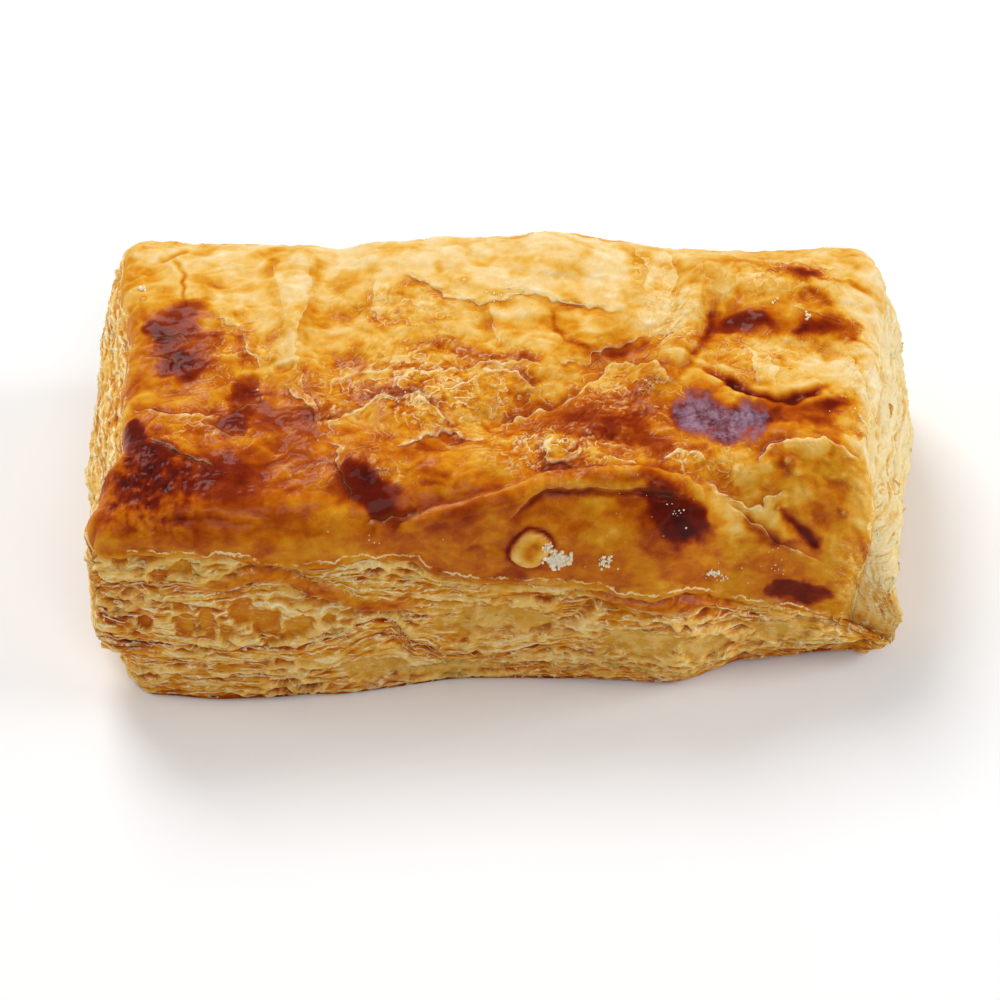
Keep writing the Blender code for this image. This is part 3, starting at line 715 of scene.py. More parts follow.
    # the bubble's upper rim is the sharper and darker one
    middleX, middleS = crust["bubble"][:2]
    far = toSpot(crust["bubble"], x, s) + 0.30 * ripples(flat, 5.0, 34, 2)
    bake += 0.10 * (far < 1) * ripples(flat, 2.0, 37, 3)
    upper = smooth((s - middleS) - 0.6 * (x - middleX), -3.0, 1.0)
    dented = 1 - 0.25 * smooth(ripple(flat, 1.6, 36), -0.2, 0.6)
    lift += crust["bubbleHeight"] * np.sqrt(clamp(1 - far ** 3)) * dented
    lift -= 0.2 * (0.35 + 0.65 * upper) * hump(far, 1.14, 0.12)
    bake += 0.20 * (0.15 + 0.85 * upper) * hump(far, 1.10, 0.11)
    bake -= 0.10 * smooth(1 - far, 0, 0.25) - 0.14 * smooth(1 - far, 0.2, 0.9)
    pale += 0.35 * hump(far, 0.90, 0.10)

    # hollows are browner and crests paler: partly the real browning of hollows and pale torn crests, partly
    # painted shade in the hollows and painted light on the crests
    narrow = clamp((blurred(lift, 3) - lift) / 0.30, -1, 1)
    broad = clamp((blurred(lift, 9) - lift) / 0.80, -1, 1)
    bake += (0.35 + 0.65 * clean) * (0.08 * narrow + 0.08 * broad)
    pale += 0.25 * clean * (0.25 + rough) * smooth(-narrow, 0.25, 1.0)
    limit = crust["bakeLimit"]
    bake = np.where(bake > limit, limit + 0.5 * (bake - limit), bake)
    return {"lift": lift, "bake": bake, "pale": clamp(pale), "shade": clamp(shade), "rough": rough,
            "purple": purple, "brink": brink, "torn": torn, "sheets": sheets, "steep": steep}


def makeCrust():
    columns, rows = crust["cellsX"], crust["cellsY"]
    lipRings = len(crust["lip"])
    bm, homes, rings = ringedGrid(columns, rows, lipRings)

    # columns of points at even steps over the surface, from the front rim to the back
    a, b = np.meshgrid(np.linspace(-1, 1, columns + 1), np.linspace(-1, 1, 2 * rows + 1))
    a = crowd(a)
    closer = np.sign(b) * (1 - (1 - abs(b)) ** 2.3)
    dense = np.stack([crustPoint(a, closer)[1], crustHeight(a, closer)], axis=-1)
    steps = np.hypot(*np.moveaxis(np.diff(dense, axis=0), -1, 0))
    run = np.vstack([np.zeros(columns + 1), np.cumsum(steps, axis=0)])
    share, a = np.linspace(0, 1, rows + 1), a[: rows + 1]
    b = np.stack([np.interp(share * run[-1, i], run[:, i], closer[:, i]) for i in range(columns + 1)], axis=1)
    base = np.stack([*crustPoint(a, b), crustHeight(a, b)], axis=-1)
    run = np.hypot(np.diff(base[..., 1], axis=0), np.diff(base[..., 2], axis=0))
    over = np.vstack([np.zeros(columns + 1), np.cumsum(run, axis=0)])
    zero = np.array([np.interp(0.0, base[:, i, 1], over[:, i]) for i in range(columns + 1)])
    s = over - zero

    # the fields carry on past the front and back rims, for the rings of the lip
    runs = np.array(crust["lipRun"])[:, None]
    wideX = np.vstack([base[:1, :, 0]] * lipRings + [base[..., 0]] + [base[-1:, :, 0]] * lipRings)
    wideS = np.vstack([s[:1] - runs[::-1], s, s[-1:] + runs])
    fields = crustFields(wideX, wideS)
    lift = fields["lift"][lipRings:-lipRings]
    row, column = homes // (columns + 1), homes % (columns + 1)
    row = np.where(row == 0, lipRings - rings, np.where(row == rows, lipRings + rows + rings, lipRings + row))
    rim = np.minimum.reduce([np.minimum(over, over[-1] - over),
                             base[..., 0] - base[:, :1, 0], base[:, -1:, 0] - base[..., 0]])
    quiet = 0.35 + 0.65 * smooth(rim, 0, 2.0)
    shaped = base + facing(base) * (lift * quiet)[..., None]
    ragged = ripples(base, 3.5, 70, 3, 0.6) * (1 - smooth(rim, 0, 2.5))
    shaped[..., 2] += crust["rimRaggedness"] * ragged
    lipPale = (1 - smooth(rim, 0, 0.8)) * smooth(ripple(base, 4.0, 71), -0.3, 0.5)

    faceX, faceY = outward(a, b)
    points = shaped.reshape(-1, 3)[homes]
    outX, outY = faceX.ravel()[homes], faceY.ravel()[homes]
    for ring, (out, up) in enumerate(crust["lip"], 1):
        chosen = rings == ring
        points[chosen, 0] += out * outX[chosen]
        points[chosen, 1] += out * outY[chosen]
        points[chosen, 2] += up
    marks = {mark: values[row, column] for mark, values in fields.items()}
    bulge = 0.6 * (marks.pop("lift") - lift.ravel()[homes]) * (rings < 4)
    points[:, 0] += bulge * outX
    points[:, 1] += bulge * outY
    marks["over"] = s.ravel()[homes]
    marks["rim"] = np.where(rings > 0, -np.append(0, crust["lipRun"])[rings], rim.ravel()[homes])
    # the turned-under part is pale and plain
    under = smooth(rings.astype(float), 1.5, 4.5)
    marks["bake"] = mix(marks["bake"], 0.30, under)
    marks["pale"] = clamp(clamp(marks["pale"] + 0.2 * lipPale.ravel()[homes]) + 0.4 * under)
    for mark in ("purple", "torn", "rough"):
        marks[mark] = marks[mark] * (1 - under)
    print("Crust shaped:", len(points), "points")
    return settle(bm, points, marks, "crust")


# Laminated walls under the crust: thin sheets with gaps between them, all round the parcel
layers = {
    "frontColumns": 700,
    "backColumns": 300,
    "frontRows": 106,
    "backRows": 84,
    "overlap": 3.0,
    "pitch": 1.25,
    # heights of the two seams along the front, where one folded sheet lies on another
    "lowSeam": ((-62, 14.5), (-53, 13.4), (-46, 13.8), (-38, 12.8), (-30, 12.7), (-24.3, 13.9),
     (-19, 17.2), (-15.7, 16.2),
                (-12, 9.8), (-7, 6.7), (-0.3, 6.4), (4.4, 8.2), (9.5, 9.3), (16, 7.2), (33, 5.5),
                 (45, 4.6), (60, 4.2)),
    "highSeam": ((-62, 24.5), (-50, 25.4), (-40, 25.7), (-35.2, 26.9), (-31.8, 26.3), (-26.4, 23.4),
     (-23.3, 22.6),
                 (-19.5, 20.3), (-13, 19.3), (-5, 19.2), (8, 19.4), (15.5, 20.6), (21.5, 19.4),
                  (31, 17.4), (34, 15.6),
                 (45, 10.4), (60, 7.5)),
    "flatHeights": (0.0, 12.0, 22.0, 31.0),
    # edges of single sheets on the front: path in (x, z), raised side (1 above), height, reach, paleness
    "sheets": (
        (((-61.0, 29.0), (-57.8, 27.2), (-54.0, 25.6), (-50.7, 24.2), (-45.0, 22.4),
         (-40.0, 21.9)), 1, 0.8, 3.0, 0.5),
        (((-13.5, 20.4), (-10.4, 20.1), (-8.4, 19.2), (-1.8, 18.3), (5.9, 17.4),
         (10.0, 16.2)), 1, 1.0, 3.0, 0.6),
        (((5.3, 9.7), (8.0, 12.0), (11.5, 13.9), (14.5, 17.0), (15.6, 18.6)), -1, 0.9, 4.0, 1.0),
        (((13.0, 11.8), (14.6, 12.7), (21.6, 14.5), (28.9, 14.2), (39.3, 10.9), (44.5, 11.2),
         (50.0, 8.8), (53.7, 7.0)), 1,
         1.1, 3.0, 0.9),
        (((24.0, 5.0), (30.0, 3.4), (37.0, 4.4), (42.8, 5.8), (49.0, 5.6), (55.4, 4.2)), 1, 0.8, 2.5, 0.7),
        (((-52.7, 7.0), (-44.0, 5.6), (-38.0, 6.8), (-31.7, 6.0), (-26.0, 7.6),
         (-21.5, 9.0)), 1, 0.7, 2.5, 0.8),
        (((-49.0, 10.6), (-42.0, 9.6), (-36.0, 10.2), (-28.0, 9.6)), 1, 0.5, 2.0, 0.6),
        (((-34.0, 22.2), (-27.0, 20.4), (-21.5, 18.6), (-18.0, 18.4)), -1, 0.6, 4.0, 0.6),
        (((-4.0, 12.0), (0.0, 10.6), (5.5, 11.2)), -1, 0.5, 3.0, 0.6),
        (((-15.0, 5.0), (-8.0, 4.6), (0.0, 4.4), (7.0, 5.4), (14.0, 4.4)), 1, 0.6, 2.0, 0.5),
    ),
    # baked windows that sit back between the sheets: x, z, half width, half height, bake
    "windows": (
        (-45.6, 18.0, 1.7, 2.8, 0.52), (-42.2, 18.2, 1.3, 2.8, 0.50), (-36.9, 20.0, 2.2, 2.8, 0.55),
        (-33.4, 17.2, 2.2, 3.8, 0.57), (-29.1, 17.0, 2.6, 2.4, 0.42), (-51.4, 18.2, 1.2, 2.0, 0.50),
        (-49.9, 30.3, 2.4, 1.0, 0.56), (-49.2, 27.4, 1.7, 1.1, 0.56), (-54.2, 29.8, 1.1, 0.8, 0.54),
        (-45.6, 28.3, 1.9, 1.0, 0.42), (-24.3, 18.2, 1.4, 1.2, 0.42), (-39.6, 16.4, 1.0, 1.4, 0.44),
    ),
    # smooth doughy panels: x, z, half width, half height
    "panels": ((0.2, 14.2, 8.5, 3.0), (21.0, 10.2, 8.0, 3.2), (-8.0, 3.4, 9.0, 1.8), (43.0, 8.4, 5.0, 2.0),
               (-18.0, 6.0, 5.0, 2.6), (31.0, 8.6, 4.0, 2.4)),
    # round toasted places on the front: x, z, half width, half height, and how much darker
    "toasted": ((-55.5, 19.5, 4.5, 3.2, 0.26), (-57.0, 8.0, 3.0, 2.5, 0.208)),
    "blob": (-52.5, 13.2, 3.2, 1.8),
    # how far the sheets stand out of the wall: at the sides, and on the front from its left to its right
    "plySides": 0.60,
    "plyFront": (0.34, 0.20),
    "windowDepth": -0.85,
    "panelDepth": -0.50,
    "ribbonWidth": 0.95,
    "ribbonHeight": 0.75,
    "footBake": 0.42,
    "brimBake": 0.30,
    # how much paler the right end grows up its height, partly its own colour and partly painted light
    "rightPalenessAndLight": 0.40,
    "cornerPush": 1.7,  # how far the right front corner stands out at its foot
    "ringDepths": (3.0, 7.0),  # how far in the two closing rings lie
    "backTuck": 0.8,  # how far the back wall's ends draw in behind the front one
}


def wallBase(a, b, share):
    # the wall of the solid without its ledges, for places on the boundary and a share of the height
    bellyX, bellyY = bellyPoint(a, b)
    top, foot = crustHeight(a, b) - 0.9, footHeight(a, b)
    faceX, faceY = outward(a, b)
    bellyShare = parcel["bellyShare"]
    up = clamp((share - bellyShare) / (1 - bellyShare)) ** 2.2
    down = clamp((bellyShare - share) / bellyShare) ** 2.0
    x, y = inset(bellyX, bellyY, crustInset(bellyX, bellyY), up)
    x, y = inset(x, y, parcel["footInset"], down)
    x, y = setBack(x, y, 1 - smooth(share, 0.30, 0.36))
    return x, y, mix(foot, top, share), top, faceX, faceY


def wallFields(x, y, z, top, faceX, faceY):
    # how far each point of the wall stands out, and its marks
    spot = np.stack([x, y, z], axis=-1)
    level = np.stack([x, y, np.zeros_like(z)], axis=-1)
    front = smooth(-faceY, 0.3, 0.9)
    slow = ripple(level, 22.0, 100)
    lowSeam = mix(top * 0.40 + 1.6 * slow, along(layers["lowSeam"], x), front)
    highSeam = mix(top * 0.72 + 1.6 * slow, along(layers["highSeam"], x), front)
    highSeam = np.minimum(highSeam, top - 1.2)
    lowSeam = np.minimum(lowSeam, highSeam - 1.5)
    flats = layers["flatHeights"]
    # the height that each point has where the seams lie flat, and how far the stretch it is in is squeezed
    between, above = highSeam - lowSeam, np.maximum(top - highSeam, 0.5)
    stretches = [z < lowSeam, z < highSeam]
    height = np.select(stretches, [flats[1] * z / lowSeam, mix(flats[1], flats[2], (z - lowSeam) / between)],
                       mix(flats[2], flats[3], (z - highSeam) / above))
    squeeze = np.select(stretches, [lowSeam / flats[1], between / (flats[2] - flats[1])],
                        above / (flats[3] - flats[2]))
    # low ends have fewer sheets, not thinner ones
    room = mix(clamp(top / flats[3], 0.25, 1.0), 1.0, front)
    height, squeeze = height * room, squeeze / room
    roomy = smooth(squeeze, 0.12, 0.60)
    bent = np.stack([x, y, height * 3.0], axis=-1)
    stack = height / layers["pitch"] + ripple(bent, (16, 16, 22), 101) + 0.45 * ripple(bent, (6, 6, 9), 102)
    sheet = np.floor(stack)
    part = stack - sheet
    own = np.stack([x, y, sheet * 7.3], axis=-1)
    reachOut = 0.75 * ripple(own, (8, 8, 3), 103) + 0.55 * ripples(own, (3.0, 3.0, 3), 104, 2, 0.6)
    openGap = smooth(ripple(own, (7, 7, 3), 105), -0.25, 0.45)
    ledge = smooth(part, 0.0, 0.16) * (1 - smooth(part, 0.62, 0.86))
    onFront = mix(*layers["plyFront"], smooth(x, -16, -8))
    ply = mix(layers["plySides"], onFront, front) * mix(1.0, 0.65, front * (z < lowSeam))
    reach = ply * roomy * (reachOut * (0.35 + 0.65 * ledge) - (0.35 + 0.75 * openGap) * (1 - ledge))
    edgePale = ply * ledge * smooth(reachOut, -0.5, 0.9)
    cavity = ply * roomy * (1 - ledge) * (0.45 + 0.55 * openGap)
    reach += 0.55 * ripples(bent, (11, 11, 12), 121, 2)

    # honeycomb: flattened bubbles with thin walls between them, in patches
    comb = np.stack([x, y, height * 2.1], axis=-1)
    drift = [ripple(spot, 2.4, 106), ripple(spot, 2.4, 107), 1.4 * ripple(spot, 2.0, 108)]
    gap, label = cells(comb + 0.6 * np.stack(drift, axis=-1), (4.2, 4.2, 3.4), 109)
    highLeft = smooth(height, 22, 27) * front * smooth(-x, 20, 35)
    patch = smooth(ripple(bent, (12, 12, 12), 110) + 0.5 * highLeft, 0.05, 0.45)
    hollow = smooth(gap, 0.05, 0.20)
    reach = mix(reach, 0.35 - (0.6 + 0.9 * label) * hollow, patch * roomy)
    edgePale = mix(edgePale, 1 - hollow, patch)
    cavity = mix(cavity, hollow * (0.35 + 0.65 * label), patch)

    # torn shreds and threads over it all
    shred = ripples(np.stack([x, y, z * 2.2], axis=-1), (2.2, 2.2, 2.2), 111, 3, 0.6)
    reach += 0.22 * shred
    edgePale += 0.25 * smooth(shred, 0.1, 0.8)
    # a fine net of thin walls between flattened bubbles
    net = np.stack([x, y, height * 2.4], axis=-1)
    drift = [ripple(spot, 2.4, 122), ripple(spot, 2.4, 129), 1.6 * ripple(spot, 2.0, 130)]
    gap, label = cells(net + 0.9 * np.stack(drift, axis=-1), (3.0, 3.0, 2.6), 123)
    thread = hump(gap, 0, 0.09) * smooth(ripple(spot, (5, 5, 3), 124), -0.4, 0.3)
    reach += 0.20 * thread - 0.12 * label * (1 - thread)
    edgePale += 0.9 * thread

    # the colour is browner in the cavities between the sheets, and the shade mark lies there too: both are
    # painted shade
    bake = 0.50 + 0.14 * ripples(bent, (9, 9, 9), 112, 3) + 0.14 * clamp(cavity) + 0.12 * (label - 0.5)
    bake -= 0.14 * front * smooth(ripple(bent, (9, 9, 7), 131), -0.1, 0.5)
    glaze = np.zeros_like(x)
    shade = 0.50 * clamp(cavity)
    damp = np.zeros_like(x)

    for centreX, centreZ, halfX, halfZ, baked in layers["windows"]:
        far = ((abs(x - centreX) / halfX) ** 2.3 + (abs(z - centreZ) / halfZ) ** 2.3) ** (1 / 2.3)
        far = far + 0.34 * ripples(spot, 2.2, 113, 3)
        inside = (1 - smooth(far, 0.80, 1.05)) * front
        reach = mix(reach, layers["windowDepth"] + 0.15 * ripple(spot, 1.5, 114), inside)
        bake = mix(bake, baked - 0.05, inside)
        shade = mix(shade, 0.25, inside)
        edgePale = edgePale * (1 - inside) + front * 0.7 * hump(far, 1.12, 0.10)
        glaze = np.maximum(glaze, 0.6 * inside)

    for panel in layers["panels"]:
        far = toSpot(panel, x, z) + 0.38 * ripples(spot, 4.0, 115, 3)
        inside = (1 - smooth(far, 0.75, 1.05)) * front
        uneven = 0.35 * ripples(spot, (5, 5, 3), 116, 2)
        reach = mix(reach, layers["panelDepth"] + uneven + 0.15 * thread, inside)
        damp = np.maximum(damp, inside)
        bake = mix(bake, 0.40, inside)
        shade = mix(shade, 0.15, inside)
        edgePale = edgePale * (1 - 0.8 * inside) + front * 0.6 * hump(far, 1.15, 0.12)

    for path, side, rise, fall, paleness in layers["sheets"]:
        _, signed, way = toPath(path, x + 0.5 * ripple(spot, 2.4, 125), z + 0.5 * ripple(spot, 2.4, 126))
        signed = signed * side
        ends = tapered(way, 0.10) * front
        reach += rise * ends * smooth(signed, -0.15, 0.35) * np.exp(-clamp(signed, 0, 99) / fall)
        reach -= 0.6 * rise * ends * hump(signed, -0.6, 0.7)
        broken = 0.5 + 0.5 * smooth(ripple(spot, 2.0, 127), -0.3, 0.3)
        edgePale = edgePale + paleness * ends * broken * hump(signed, 0.35, 0.45)
        shade = shade + 0.8 * ends * hump(signed, -0.5, 0.5)

    ragged = 0.5 * ripple(spot, 3.0, 117)
    onLow = front * smooth(x, -60, -54) * (1 - smooth(x, 6, 12))
    elsewhere = (1 - front) * 0.35 * smooth(ripple(level, 14.0, 118), -0.1, 0.5)
    far = z - lowSeam + 0.35 * ragged
    reach -= 0.15 * onLow * hump(far, 0, 0.35)
    reach += 0.15 * onLow * hump(far, 1.3, 0.7)
    seam = hump(far, -0.1, 0.42)
    bake = mix(bake, 0.70, 0.95 * onLow * seam) + 0.3 * elsewhere * seam
    shade *= 1 - onLow * seam
    edgePale *= 1 - 0.9 * onLow * hump(far, -0.2, 0.6)
    bake += 0.26 * front * hump(toSpot(layers["blob"], x, z), 0, 1)

    onHigh = front * np.maximum(smooth(x, -46, -38) * (1 - smooth(x, -15, -11)),
                                0.9 * smooth(x, 12, 17) * (1 - smooth(x, 33, 38)))
    far = (z - highSeam + 0.25 * ragged) / (1 + 0.3 * ripple(spot, (5, 5, 9), 128))
    ribbon = (onHigh + 0.7 * elsewhere) * np.exp(-(abs(far) / layers["ribbonWidth"]) ** 3)
    reach = mix(reach, layers["ribbonHeight"] - 0.22 * far ** 2, clamp(ribbon * 1.3))
    reach -= 0.4 * onHigh * hump(far, -1.8, 0.5)
    bake = mix(bake, 0.67 + 0.14 * shred, clamp(ribbon * 1.4))
    edgePale *= 1 - clamp(ribbon * 1.3)
    shade *= 1 - clamp(ribbon)
    glaze = np.maximum(glaze, clamp(ribbon))

    # browned places: the left end of the front, the foot, and the low rim at the right
    for *place, darker in layers["toasted"]:
        bake += darker * front * hump(toSpot(place, x, z), 0, 1)
    foot = (1 - smooth(z, 0.3, 2.6)) * smooth(ripple(level, 9.0, 119) + 0.15, -0.2, 0.4)
    bake += layers["footBake"] * foot
    edgePale *= 1 - 0.8 * foot
    brim = front * smooth(x, 33, 38) * (1 - smooth(z - 1.4, 0.0, 1.8))
    bake += layers["brimBake"] * brim
    # the ends are a little paler, and the right end much paler up its height: partly its own pale colour,
    # partly painted light
    sides = smooth(abs(faceX), 0.5, 0.95)
    rightEnd = (faceX > 0) * sides
    bake -= 0.06 * sides + layers["rightPalenessAndLight"] * smooth(z, 2.0, 18.0) * rightEnd
    bake += 0.16 * rightEnd * ripples(bent, (7, 7, 6), 132, 2)
    edgePale += 0.8 * rightEnd * smooth(shred, -0.3, 0.4)
    # the right corner of the front stands out at its foot
    corner = clamp(-2 * faceX * faceY) * (faceX > 0) * (faceY < 0) * (1 - smooth(z, 8.0, 13.0))
    reach += corner * (layers["cornerPush"] + 0.5 * shred)
    bake += 0.14 * corner
    bake += 0.12 * sides * smooth(ripple(spot, (9, 9, 7), 120), 0.1, 0.6)

    near = (1 - smooth(top - z, 0.0, 1.6))
    reach = mix(reach, -0.5, near * 0.8)
    ground = 1 - smooth(z, 0.0, 1.2)
    reach = mix(reach, -0.35, ground * 0.8)
    # hollows are browner and crests paler: partly the real browning of hollows and pale torn crests, partly
    # painted shade in the hollows and painted light on the crests
    narrow = clamp((blurred(reach, 2) - reach) / 0.24, -1, 1)
    broad = clamp((blurred(reach, 6) - reach) / 0.60, -1, 1)
    bake = bake + (1 - 0.5 * glaze) * (0.08 * narrow + 0.08 * broad)
    edgePale = edgePale * (0.55 + 0.45 * smooth(-narrow, -0.2, 0.8))
    edgePale += 0.25 * smooth(-narrow, 0.3, 1.0) * (1 - glaze)
    drawn = ply * roomy * (1 - patch) * (1 - smooth(glaze, 0.0, 0.3)) * (1 - 0.6 * damp)
    return reach, {"bake": bake, "pale": clamp(edgePale), "shade": clamp(shade), "damp": damp,
                   "glaze": glaze, "stack": stack, "ply": drawn}


def ringShares(places):
    # lattice shares on the boundary for places in millimetres round the parcel, from the middle of the
    # back, by the left end, the front and the right end, back to the middle of the back
    halfLength, halfDepth = parcel["halfLength"], parcel["halfDepth"]
    stops = np.cumsum([0, halfLength, 2 * halfDepth, 2 * halfLength, 2 * halfDepth, halfLength])
    places = np.mod(places, stops[-1])
    a = np.interp(places, stops, (0, -1, -1, 1, 1, 0))
    b = np.interp(places, stops, (1, 1, -1, -1, 1, 1))
    return a, b


def makeLayers(name, start, end, columns, rows, tuck):
    bm, homes, rings = ringedGrid(columns, rows, len(layers["ringDepths"]))
    places, shares = np.meshgrid(np.linspace(start, end, columns + 1), np.linspace(0, 1, rows + 1))
    x, y, z, top, faceX, faceY = wallBase(*ringShares(places[:1]), shares)
    top, faceX, faceY = (np.broadcast_to(values, x.shape) for values in (top, faceX, faceY))
    reach, marks = wallFields(x, y, z, top, faceX, faceY)
    hidden = tuck * (1 - smooth(np.minimum(places - start, end - places), 0, layers["overlap"]))
    reach = reach - hidden
    shaped = np.stack([x + faceX * reach, y + faceY * reach, np.maximum(z, 0.02)], axis=-1)
    points = shaped.reshape(-1, 3)[homes]
    facesX, facesY = faceX.ravel()[homes], faceY.ravel()[homes]
    for ring, depth in enumerate(layers["ringDepths"], 1):
        chosen = rings == ring
        points[chosen, 0] -= depth * facesX[chosen]
        points[chosen, 1] -= depth * facesY[chosen]
        points[chosen, 2] = clamp(points[chosen, 2], 1.2 * ring, 99)
    marks = {mark: values.ravel()[homes] for mark, values in marks.items()}
    print("Layers shaped:", name, len(points), "points")
    return settle(bm, points, marks, name), shaped, np.stack([faceX, faceY], axis=-1)


# Underside: a browned flat foot
underside = {"cellsX": 180, "cellsY": 90, "bake": 0.66, "dimple": 0.45, "ringDepths": (1.0, 4.0)}


def makeUnderside():
    columns, rows = underside["cellsX"], underside["cellsY"]
    bm, homes, rings = ringedGrid(columns, rows, len(underside["ringDepths"]))
    a, b = np.meshgrid(np.linspace(-1, 1, columns + 1), np.linspace(-1, 1, rows + 1))
    x, y = setBack(*inset(*bellyPoint(a, b), parcel["footInset"], 1.0), 1.0)
    blank = np.zeros_like(x)
    spot = np.stack([x, y, blank], axis=-1)
    dimple = ripples(spot, 7.0, 200, 4, 0.6)
    edge = np.minimum(parcel["halfLength"] * (1 - abs(a)), parcel["halfDepth"] * (1 - abs(b)))
    z = footHeight(a, b) + underside["dimple"] * clamp(dimple) * smooth(edge, 0, 2.0)
    bake = underside["bake"] + 0.16 * ripples(spot, 11.0, 201, 4, 0.6) - 0.16 * clamp(dimple)
    bake += 0.10 * (1 - smooth(edge, 0, 3.0))
    points = np.stack([x, y, z], axis=-1).reshape(-1, 3)[homes]
    for ring, depth in enumerate(underside["ringDepths"], 1):
        chosen = rings == ring
        points[chosen, 0] *= 1 - depth / parcel["halfLength"]
        points[chosen, 1] *= 1 - depth / parcel["halfDepth"]
        points[chosen, 2] += depth
    pale = 0.5 * smooth(dimple, 0.35, 0.9)
    marks = {"bake": bake, "pale": pale, "shade": blank, "damp": blank, "glaze": blank}
    marks = {mark: values.ravel()[homes] for mark, values in marks.items()}
    print("Underside shaped")
    return settle(bm, points, marks, "underside")


# Leaves: thin torn flakes that stand out of the walls
leaves = {
    "count": 90,
    "seed": 12,
    "cellsX": 10,
    "cellsY": 3,
    "length": (1.5, 4.0),
    "width": (0.2, 0.5),
    "thickness": 0.12,
    "endMargin": 20,  # columns of the wall at each end that stay free
    "columnWidth": 0.72,
}


def makeLeaves(name, wall, facings, count, seed):
    rng = np.random.default_rng(seed)
    rows, columns = wall.shape[:2]
    bm = bmesh.new()
    points, bakes, pales = [], [], []
    for _ in range(count):
        column = int(rng.integers(leaves["endMargin"], columns - leaves["endMargin"]))
        row = int(rows * rng.uniform(0.10, 0.90))
        length, width = rng.uniform(*leaves["length"]), rng.uniform(*leaves["width"])
        span = int(length / leaves["columnWidth"])
        phase, curl, level = rng.uniform(0, 6.28), rng.uniform(-0.5, 0.9), rng.uniform(0.14, 0.42)
        made = bmesh.ops.create_grid(bm, x_segments=leaves["cellsX"], y_segments=leaves["cellsY"], size=1.0)
        for vert in made["verts"]:
            u, v = vert.co.x, (vert.co.y + 1) / 2
            at = min(max(int(column + u * span), 0), columns - 1)
            root, face = wall[row, at], facings[row, at]
            out = -0.8 + (width + 0.8) * v * (1 - abs(u) ** 4) * (1 + 0.18 * math.sin(5 * u + phase))
            up = curl * v * v + 0.25 * math.sin(3 * u + phase) * v
            points.append((root[0] + face[0] * out, root[1] + face[1] * out, root[2] + up))
            bakes.append(level + 0.22 * v * v * (phase > 4.0))
            pales.append(0.35 + 0.5 * v)
    blank = np.zeros(len(points))
    marks = {"bake": bakes, "pale": pales, "shade": blank, "damp": blank, "glaze": blank}
    piece = settle(bm, np.array(points), marks, name)
    thick = piece.modifiers.new("sheet", "SOLIDIFY")
    thick.thickness = leaves["thickness"] / 1000
    thick.offset = 0.0
    print("Leaves made:", name, count)
    return piece


# Crumbs: pale heaps on the crust, the largest beside the bubble, and a few strays
crumbs = {
    "seed": 5,
    # heaps: x, s, spread, how many, size
    "heaps": ((9.0, -36.6, 1.5, 150, 0.36), (7.4, -34.2, 0.8, 24, 0.26), (15.8, -37.3, 1.2, 34, 0.24),
     (31.8, -37.6, 0.9, 16, 0.26),
              (33.6, -39.0, 0.7, 8, 0.22), (-53.3, 14.4, 0.6, 10, 0.30), (41.5, 11.0, 0.5, 5, 0.24),
               (46.4, 8.2, 0.7, 9, 0.26),
              (-18.0, -33.0, 1.0, 5, 0.12), (36.0, -36.5, 5.0, 12, 0.10), (20.0, -32.0, 9.0, 12, 0.08),
               (26.0, -28.5, 1.6, 9, 0.13),
              (-10.0, -8.0, 12.0, 12, 0.10), (42.0, -38.0, 3.0, 8, 0.12), (52.0, -10.0, 2.0, 9, 0.14),
               (1.2, 11.4, 2.6, 22, 0.13)),
}


def makeCrumbs(crustPiece):
    # each crumb is a small knobbly ball set down on the crust
    rng = np.random.default_rng(crumbs["seed"])
    count = len(crustPiece.data.vertices)
    where, over = np.empty(count * 3, np.float32), np.empty(count, np.float32)
    crustPiece.data.vertices.foreach_get("co", where)
    crustPiece.data.attributes["over"].data.foreach_get("value", over)
    columns, rows = crust["cellsX"] + 1, crust["cellsY"] + 1
    sheet = where.reshape(-1, 3)[: columns * rows].reshape(rows, columns, 3)
    s = over[: columns * rows].reshape(rows, columns)
    x = sheet[..., 0] * 1000 + parcel["middle"][0]
    normal = facing(sheet.astype(float))
    bm = bmesh.new()
    for heapX, heapS, spread, number, size in crumbs["heaps"]:
        for _ in range(number):
            goX, goS = heapX + rng.normal() * spread * 0.55, heapS + rng.normal() * spread * 0.45
            j, i = np.unravel_index(((x - goX) ** 2 + (s - goS) ** 2).argmin(), x.shape)
            radius = size * rng.uniform(0.6, 1.35) / 1000
            made = bmesh.ops.create_icosphere(bm, subdivisions=1, radius=radius)["verts"]
            stretch = rng.uniform(0.6, 1.2, 3)
            up = sheet[j, i] + normal[j, i] * radius * rng.uniform(0.2, 0.9)
            for vert in made:
                vert.co = Vector(np.array(vert.co) * stretch * rng.uniform(0.75, 1.2) + up)
    mesh = bpy.data.meshes.new("crumbs")
    bm.to_mesh(mesh)
    bm.free()
    mesh.shade_smooth()
    piece = bpy.data.objects.new("crumbs", mesh)
    bpy.context.scene.collection.objects.link(piece)
    print("Crumbs made")
    return piece


